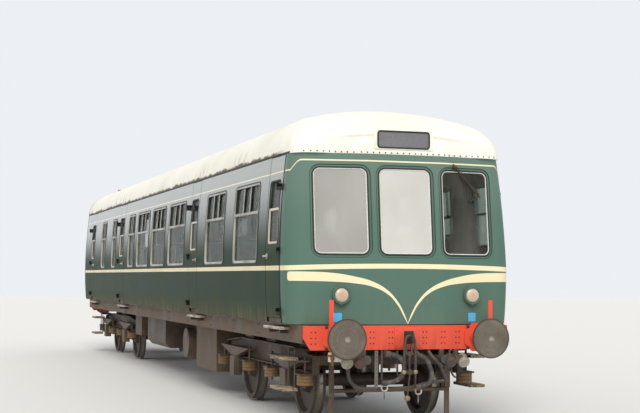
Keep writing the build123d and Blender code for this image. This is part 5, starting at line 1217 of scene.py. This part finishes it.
# Roof: aluminium sheet over hoops, painted cream, with ventilators in two rows along it.
# Rain has washed soot down to the gutter, where moss grows over a dark edge.
ROOF_CREAM = srgb(246, 243, 232)
ROOF_SOOT = srgb(158, 146, 116)
MOSS = srgb(96, 92, 54)
ROOF_EDGE = srgb(34, 35, 30)
SCREW_ROW = np.linspace(-1.2, 1.2, 33)
SCREW_LEVEL = 3.212
AHEAD_OF_ROOF = -9.5
SCREW_HEAD = ((0, -0.003), (0.010, -0.003), (0.010, 0.002), (0.006, 0.005), (0, 0.005))


def weathered_roof():
    """Cream paint behind the cab's brow, under runs of soot, clouds of dirt, and moss at its foot."""
    finish, tree, surface = shader("roof_cream", Specular_IOR_Level=0.3, Roughness=0.55)
    x, y, z = surface_place(tree)
    behind = fade(y, -8.3, -7.7)
    runs = fade(speckle(tree, 2.2, 9.0, (1.0, 4.0, 0.8)), 0.5, 0.66) * fade(z, 3.50, 3.25)
    patches = fade(speckle(tree, 0.4, 2.0), 0.44, 0.58)
    clouds = fade(speckle(tree, 0.9, 5.0), 0.4, 0.8)
    soot = runs * patches * behind * 0.75 + clouds * 0.2
    tone = blended(soot * 0.8, ROOF_CREAM, ROOF_SOOT)
    moss_top = speckle(tree, 5.0, 8.0) * 0.12 + 3.185
    mossed = blended(fade(z - moss_top, 0.015, -0.02) * behind, tone, MOSS)
    edge = fade(z, 3.222, 3.214) * fade(y, -8.42, -8.40)
    feed(surface, Base_Color=blended(edge, mossed, ROOF_EDGE))
    return finish


dressed(["roof", "roof_ventilators"], weathered_roof())
struck = [node["roof"].ray_cast(Vector((x, AHEAD_OF_ROOF, SCREW_LEVEL)), Vector((0, 1, 0)))
          for x in SCREW_ROW]
screws = copies(lathe(SCREW_HEAD, (0, 0, 0), (0, -1, 0), 8), [
    tuple(place) for hit, place, facing, face in struck if hit])
part_of("roof_front_screws", [screws], iron("screw_iron", srgb(120, 116, 104), srgb(96, 90, 78), 0.4, 0.1))


# Marker lamps: turned steel rims hinged on the front, each over a clouded, pinkish moulded lens.
# The rims are painted green like the front, in the same lighter copy that is painted light on the front, and
# dirty in the corners.
LAMP_X, LAMP_Z = 0.81, 1.551
LAMP_BACK = -8.790
LAMP_RIM = ((0.103, 0.0), (0.103, 0.034), (0.100, 0.040), (0.096, 0.042), (0.091, 0.040), (0.089, 0.034),
            (0.089, 0.020))
LAMP_GASKET = ((0.090, 0.030), (0.087, 0.039), (0.082, 0.037))
LAMP_LENS = ((0, 0.066), (0.022, 0.0655), (0.048, 0.062), (0.067, 0.056), (0.079, 0.047), (0.083, 0.034))
HINGE_OFFSET, HINGE_HALF, HINGE_DEPTH, HINGE_RADIUS = 0.104, 0.035, 0.02, 0.009
CATCH_OFFSET, CATCH_DEPTHS, CATCH_RADIUS = 0.106, (0.01, 0.034), 0.010


def clouded_lens():
    """A moulded lens, pink in its middle and pale towards its rim."""
    finish, tree, surface = shader("lamp_lens", Roughness=0.35, Coat_Weight=0.6, Coat_Roughness=0.1)
    x, y, z = surface_place(tree)
    cloud = speckle(tree, 16.0) * 0.05 + distance(abs(x) - LAMP_X, z - LAMP_Z)
    feed(surface, Base_Color=blended(fade(cloud, 0.035, 0.085), srgb(212, 158, 128), srgb(190, 184, 164)))
    return finish


lit_lamp_green = iron("lit_lamp_green", srgb(92, 116, 104), srgb(66, 74, 66), 0.35, 0.0)
dressed(["marker_lamps"], lit_lamp_green)
lamp_x = (-LAMP_X, LAMP_X)
rims, gaskets, lenses = [
    [lathe(profile, (x, LAMP_BACK, LAMP_Z), (0, -1, 0), 32) for x in lamp_x]
    for profile in (LAMP_RIM, LAMP_GASKET, LAMP_LENS)]
rims += [rod((x - HINGE_HALF, LAMP_BACK - HINGE_DEPTH, LAMP_Z + HINGE_OFFSET),
             (x + HINGE_HALF, LAMP_BACK - HINGE_DEPTH, LAMP_Z + HINGE_OFFSET), HINGE_RADIUS) for x in lamp_x]
rims += [rod((x, LAMP_BACK - CATCH_DEPTHS[0], LAMP_Z - CATCH_OFFSET),
             (x, LAMP_BACK - CATCH_DEPTHS[1], LAMP_Z - CATCH_OFFSET), CATCH_RADIUS) for x in lamp_x]
part_of("lamp_rims", rims, lit_lamp_green)
part_of("lamp_gaskets", gaskets, rubber)
part_of("lamp_lenses", lenses, clouded_lens())


# Destination box: a pressed steel box let into the roof's brow, with a black framed window in it.
# The window shows a blank grey blind. The box is painted cream, as the roof is.
BOX_FACE = -8.671
BOX_WINDOW, WINDOW_CORNER = ((-0.322, 0.322), (3.272, 3.466)), 0.035
BOX_BEADING, BEADING_CORNER = ((-0.364, 0.364), (3.259, 3.478)), 0.012
BLIND_PROUD = 0.0015


def box_wall(x, z, proud):
    """Points on the destination box's face, or proud of it."""
    return points_at(x, BOX_FACE - proud, z)


box_cream = paint("box_cream", ROOF_CREAM, ROOF_SOOT, 3.2, 3.45, 0.3, 0.45)
blind_grey = iron("blind_grey", srgb(112, 112, 118), srgb(128, 126, 128), 0.25, 0.0)
dressed(["destination_box"], box_cream)
part_of("destination_blind", [pane_sheet(*BOX_WINDOW, BLIND_PROUD, box_wall)], blind_grey)
window_frame = surround(*BOX_WINDOW, WINDOW_CORNER, bead(0.020, -0.002, 0.012), box_wall)
part_of("destination_frame", [window_frame], rubber)
beading = surround(*BOX_BEADING, BEADING_CORNER, bead(0.010, -0.002, 0.006), box_wall)
part_of("destination_beading", [beading], box_cream)


# Wiper: a brass spindle on the front that carries a pair of black steel arms and a rubber blade.
# It is parked across the upper corner of the right windscreen.
WIPER_PIVOT = np.array((0.64, 3.068))
WIPER_TIP = np.array((0.975, 2.718))


def wiper_place(share, proud, aside=0.0):
    """A point along the wiper's arm from its spindle (0) to its tip (1), proud of the front."""
    along = WIPER_TIP - WIPER_PIVOT
    across = np.array((-along[1], along[0])) / np.linalg.norm(along)
    return nose_wall(*(WIPER_PIVOT + share * along + aside * across), proud)


def wiper_rod(start, end, radius):
    """A round bar of the wiper between two of its places."""
    return rod(wiper_place(*start), wiper_place(*end), radius)


wiper_brass = iron("wiper_brass", srgb(120, 94, 54), srgb(60, 52, 42), 0.4, 0.0, 0.4)
dressed(["wiper"], wiper_brass)
spindle = [wiper_rod((0.0, 0.0), (0.0, 0.062), 0.020), ball(wiper_place(0.0, 0.060), 0.016),
           wiper_rod((-0.09, 0.045), (0.06, 0.045), 0.012), wiper_rod((0.93, 0.032), (1.0, 0.032), 0.012)]
arms = [wiper_rod((0.0, 0.046, 0.016), (0.97, 0.034, 0.012), 0.005),
        wiper_rod((0.0, 0.046, -0.016), (0.97, 0.034, -0.012), 0.004)]
blade = [wiper_rod((0.86, 0.018, -0.16), (0.98, 0.012, 0.02), 0.007),
         wiper_rod((0.86, 0.008, -0.16), (0.98, 0.004, 0.02), 0.004)]
part_of("wiper_spindle", spindle, wiper_brass)
part_of("wiper_arms", arms + blade, rubber)


# Floor and inside fittings: brown boards, cream screens across the saloon, and the driver's desk.
# They are seen only through the windows, and are wiped clean but old.
dressed(["floor"], iron("floor_boards", srgb(96, 78, 62), srgb(74, 64, 56), 0.5, 0.0))
saloon_paint = paint("saloon_paint", srgb(206, 196, 168), srgb(150, 136, 108), 1.2, 2.6, 0.3, 0.45)
dressed(["screens_and_desk"], saloon_paint)


# Seats: sprung cushions and backs in dark green moquette, one pair of places on each side of the gangway.
# The padding is blown up in cloth simulation from a slightly small block, and every bench is the same.
SEAT_ROWS = ((1.400, 1), (3.010, -1), (3.070, 1), (4.730, -1), (5.850, 1), (7.390, -1), (7.450, 1),
             (8.930, -1), (8.990, 1), (10.470, -1), (10.530, 1), (11.660, -1), (12.640, 1), (14.130, -1),
             (14.190, 1), (15.640, -1))
SEAT_X = (0.26, 1.279)
SEAT_TOP = 1.698
BACK_TOP = 2.318
BACK_LEAN = 0.05
SALOON_FLOOR = 1.268
PAN_FOOT = SEAT_TOP - 0.13
CUSHION_Y, BACK_Y = (0.11, 0.56), (0.018, 0.078)
BASE_Y, PAN_Y, SHELL_Y = (0.03, 0.20), (0.02, 0.55), (0.0, 0.016)
TOP_BAR_Y, TOP_BAR_Z, TOP_BAR_RADIUS = 0.028, BACK_TOP - 0.022, 0.018
PAD_INSET = 0.020
PAD_VOXEL = 0.024
PAD_LIMIT = 0.018
PAD_PRESSURE = 4.0
PAD_STEPS = 20


def plump(name, low, high):
    """A pad: a remeshed block that pressure swells in cloth simulation, with no point moved too far."""
    size, middle = np.subtract(high, low), np.add(low, high) / 2
    work = bmesh.new()
    bmesh.ops.create_cube(work, size=1.0, matrix=Matrix.Translation(middle) @ Matrix.Diagonal((*size, 1.0)))
    mesh = bpy.data.meshes.new(name)
    work.to_mesh(mesh)
    work.free()
    block = bpy.data.objects.new(name, mesh)
    bpy.context.scene.collection.objects.link(block)
    cut = block.modifiers.new("cut", "REMESH")
    cut.mode = "VOXEL"
    cut.voxel_size = PAD_VOXEL
    block.data = bpy.data.meshes.new_from_object(block.evaluated_get(bpy.context.evaluated_depsgraph_get()))
    block.modifiers.clear()
    rest = corners_of(block.data)
    faces = np.array([face.vertices[:] for face in block.data.polygons])
    swollen = rest
    cloth = block.modifiers.new("cloth", "CLOTH")
    cloth.settings.use_pressure = True
    cloth.settings.uniform_pressure_force = PAD_PRESSURE
    cloth.settings.effector_weights.gravity = 0.0
    for step in range(1, PAD_STEPS + 1):
        bpy.context.scene.frame_set(step)
    swollen = corners_of(block.evaluated_get(bpy.context.evaluated_depsgraph_get()).data)
    bpy.context.scene.frame_set(1)
    bpy.data.objects.remove(block)
    move = swollen - rest
    reach = np.linalg.norm(move, axis=1)[:, None]
    return rest + move * np.minimum(1, PAD_LIMIT / np.maximum(reach, 1e-9)), faces


def moquette():
    """Woven green pile, paler where it is worn."""
    finish, tree, surface = shader("seat_moquette", Roughness=0.9, Sheen_Weight=0.4, Sheen_Roughness=0.5,
                                   Specular_IOR_Level=0.2)
    weave = speckle(tree, 90.0, 2.0)
    wear = fade(speckle(tree, 3.0), 0.45, 0.8) * 0.35
    pile = blended(fade(weave, 0.4, 0.6), srgb(40, 92, 66), srgb(72, 132, 98))
    feed(surface, Base_Color=blended(wear, pile, srgb(112, 128, 104)),
         Normal=relief(tree, weave, 0.5, RELIEF_DEPTH))
    return finish


def benches(*shapes):
    """A bench's shapes at every row, turned to the way its row faces, on both sides of the gangway."""
    placed = []
    for shape in shapes:
        placed += paired([
            copies(shape if facing > 0 else mirrored(shape, 1), (0, place - BODY_END, 0))
            for place, facing in SEAT_ROWS])
    return placed


pad_x = grown(SEAT_X, -PAD_INSET)
cushion = plump("cushion_pad", *zip(pad_x, CUSHION_Y, (SEAT_TOP - 0.10, SEAT_TOP - 0.012)))
back, back_faces = plump("back_pad", *zip(pad_x, BACK_Y, (SEAT_TOP + 0.01, BACK_TOP - 0.045)))
back[:, 1] += BACK_LEAN * (BACK_TOP - back[:, 2]) / (BACK_TOP - SEAT_TOP)
base = board(*zip((SEAT_X[0] + 0.06, SEAT_X[1] - 0.01), BASE_Y, (SALOON_FLOOR, SEAT_TOP - 0.12)))
pan = board(*zip(SEAT_X, PAN_Y, (PAN_FOOT, SEAT_TOP - 0.105)))
shell = board(*zip(SEAT_X, SHELL_Y, (PAN_FOOT, BACK_TOP - 0.05)))
top_bar = rod(*[(x, TOP_BAR_Y, TOP_BAR_Z) for x in SEAT_X], TOP_BAR_RADIUS)
seat_moquette = moquette()
for name, shapes in (("seat_cushions", benches(cushion)), ("seat_backs", benches((back, back_faces)))):
    padding = part_of(name, shapes, seat_moquette, crease=60)
    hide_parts("seats")
seat_frames = part_of("seat_frames", benches(base, pan, shell, top_bar), saloon_paint)
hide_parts("seats")


# End wall and gangway: a flat green steel end, and a tunnel of rubber and canvas to walk through.
# Both are dull with soot, and the gangway's folds are ribs of rubbered canvas round its frame.
GANGWAY_X = (-0.41, 0.41)
GANGWAY_LEVELS = (1.218, 3.238)
GANGWAY_CORNER = 0.06
FOLD_STARTS = np.arange(0.02, 0.34, 0.045)
FOLD_SECTION = ((-0.01, 0), (0.014, 0.012), (0.022, 0.020), (0.014, 0.028), (-0.01, 0.040))


def end_wall(x, z, proud):
    """Points on the rear end wall, or proud of it."""
    return points_at(x, BODY_END + proud, z)


# The end wall takes the sides' darker green, with its painted shade.
dressed(["end_wall"], paint("end_green", SHADED_BODY_GREEN, srgb(78, 72, 58), 1.0, 3.0, 0.55, 0.5))
dressed(["gangway"], iron("gangway_canvas", srgb(38, 37, 36), srgb(84, 78, 70), 0.35, 0.0))
folds = [surround(GANGWAY_X, GANGWAY_LEVELS, GANGWAY_CORNER, np.array(FOLD_SECTION) + (0, start), end_wall)
         for start in FOLD_STARTS]
part_of("gangway_folds", folds, iron("fold_canvas", srgb(32, 31, 31), srgb(78, 72, 64), 0.3, 0.0))


# Finish: colours are shown as they are written.
bpy.context.scene.view_settings.view_transform = "Standard"
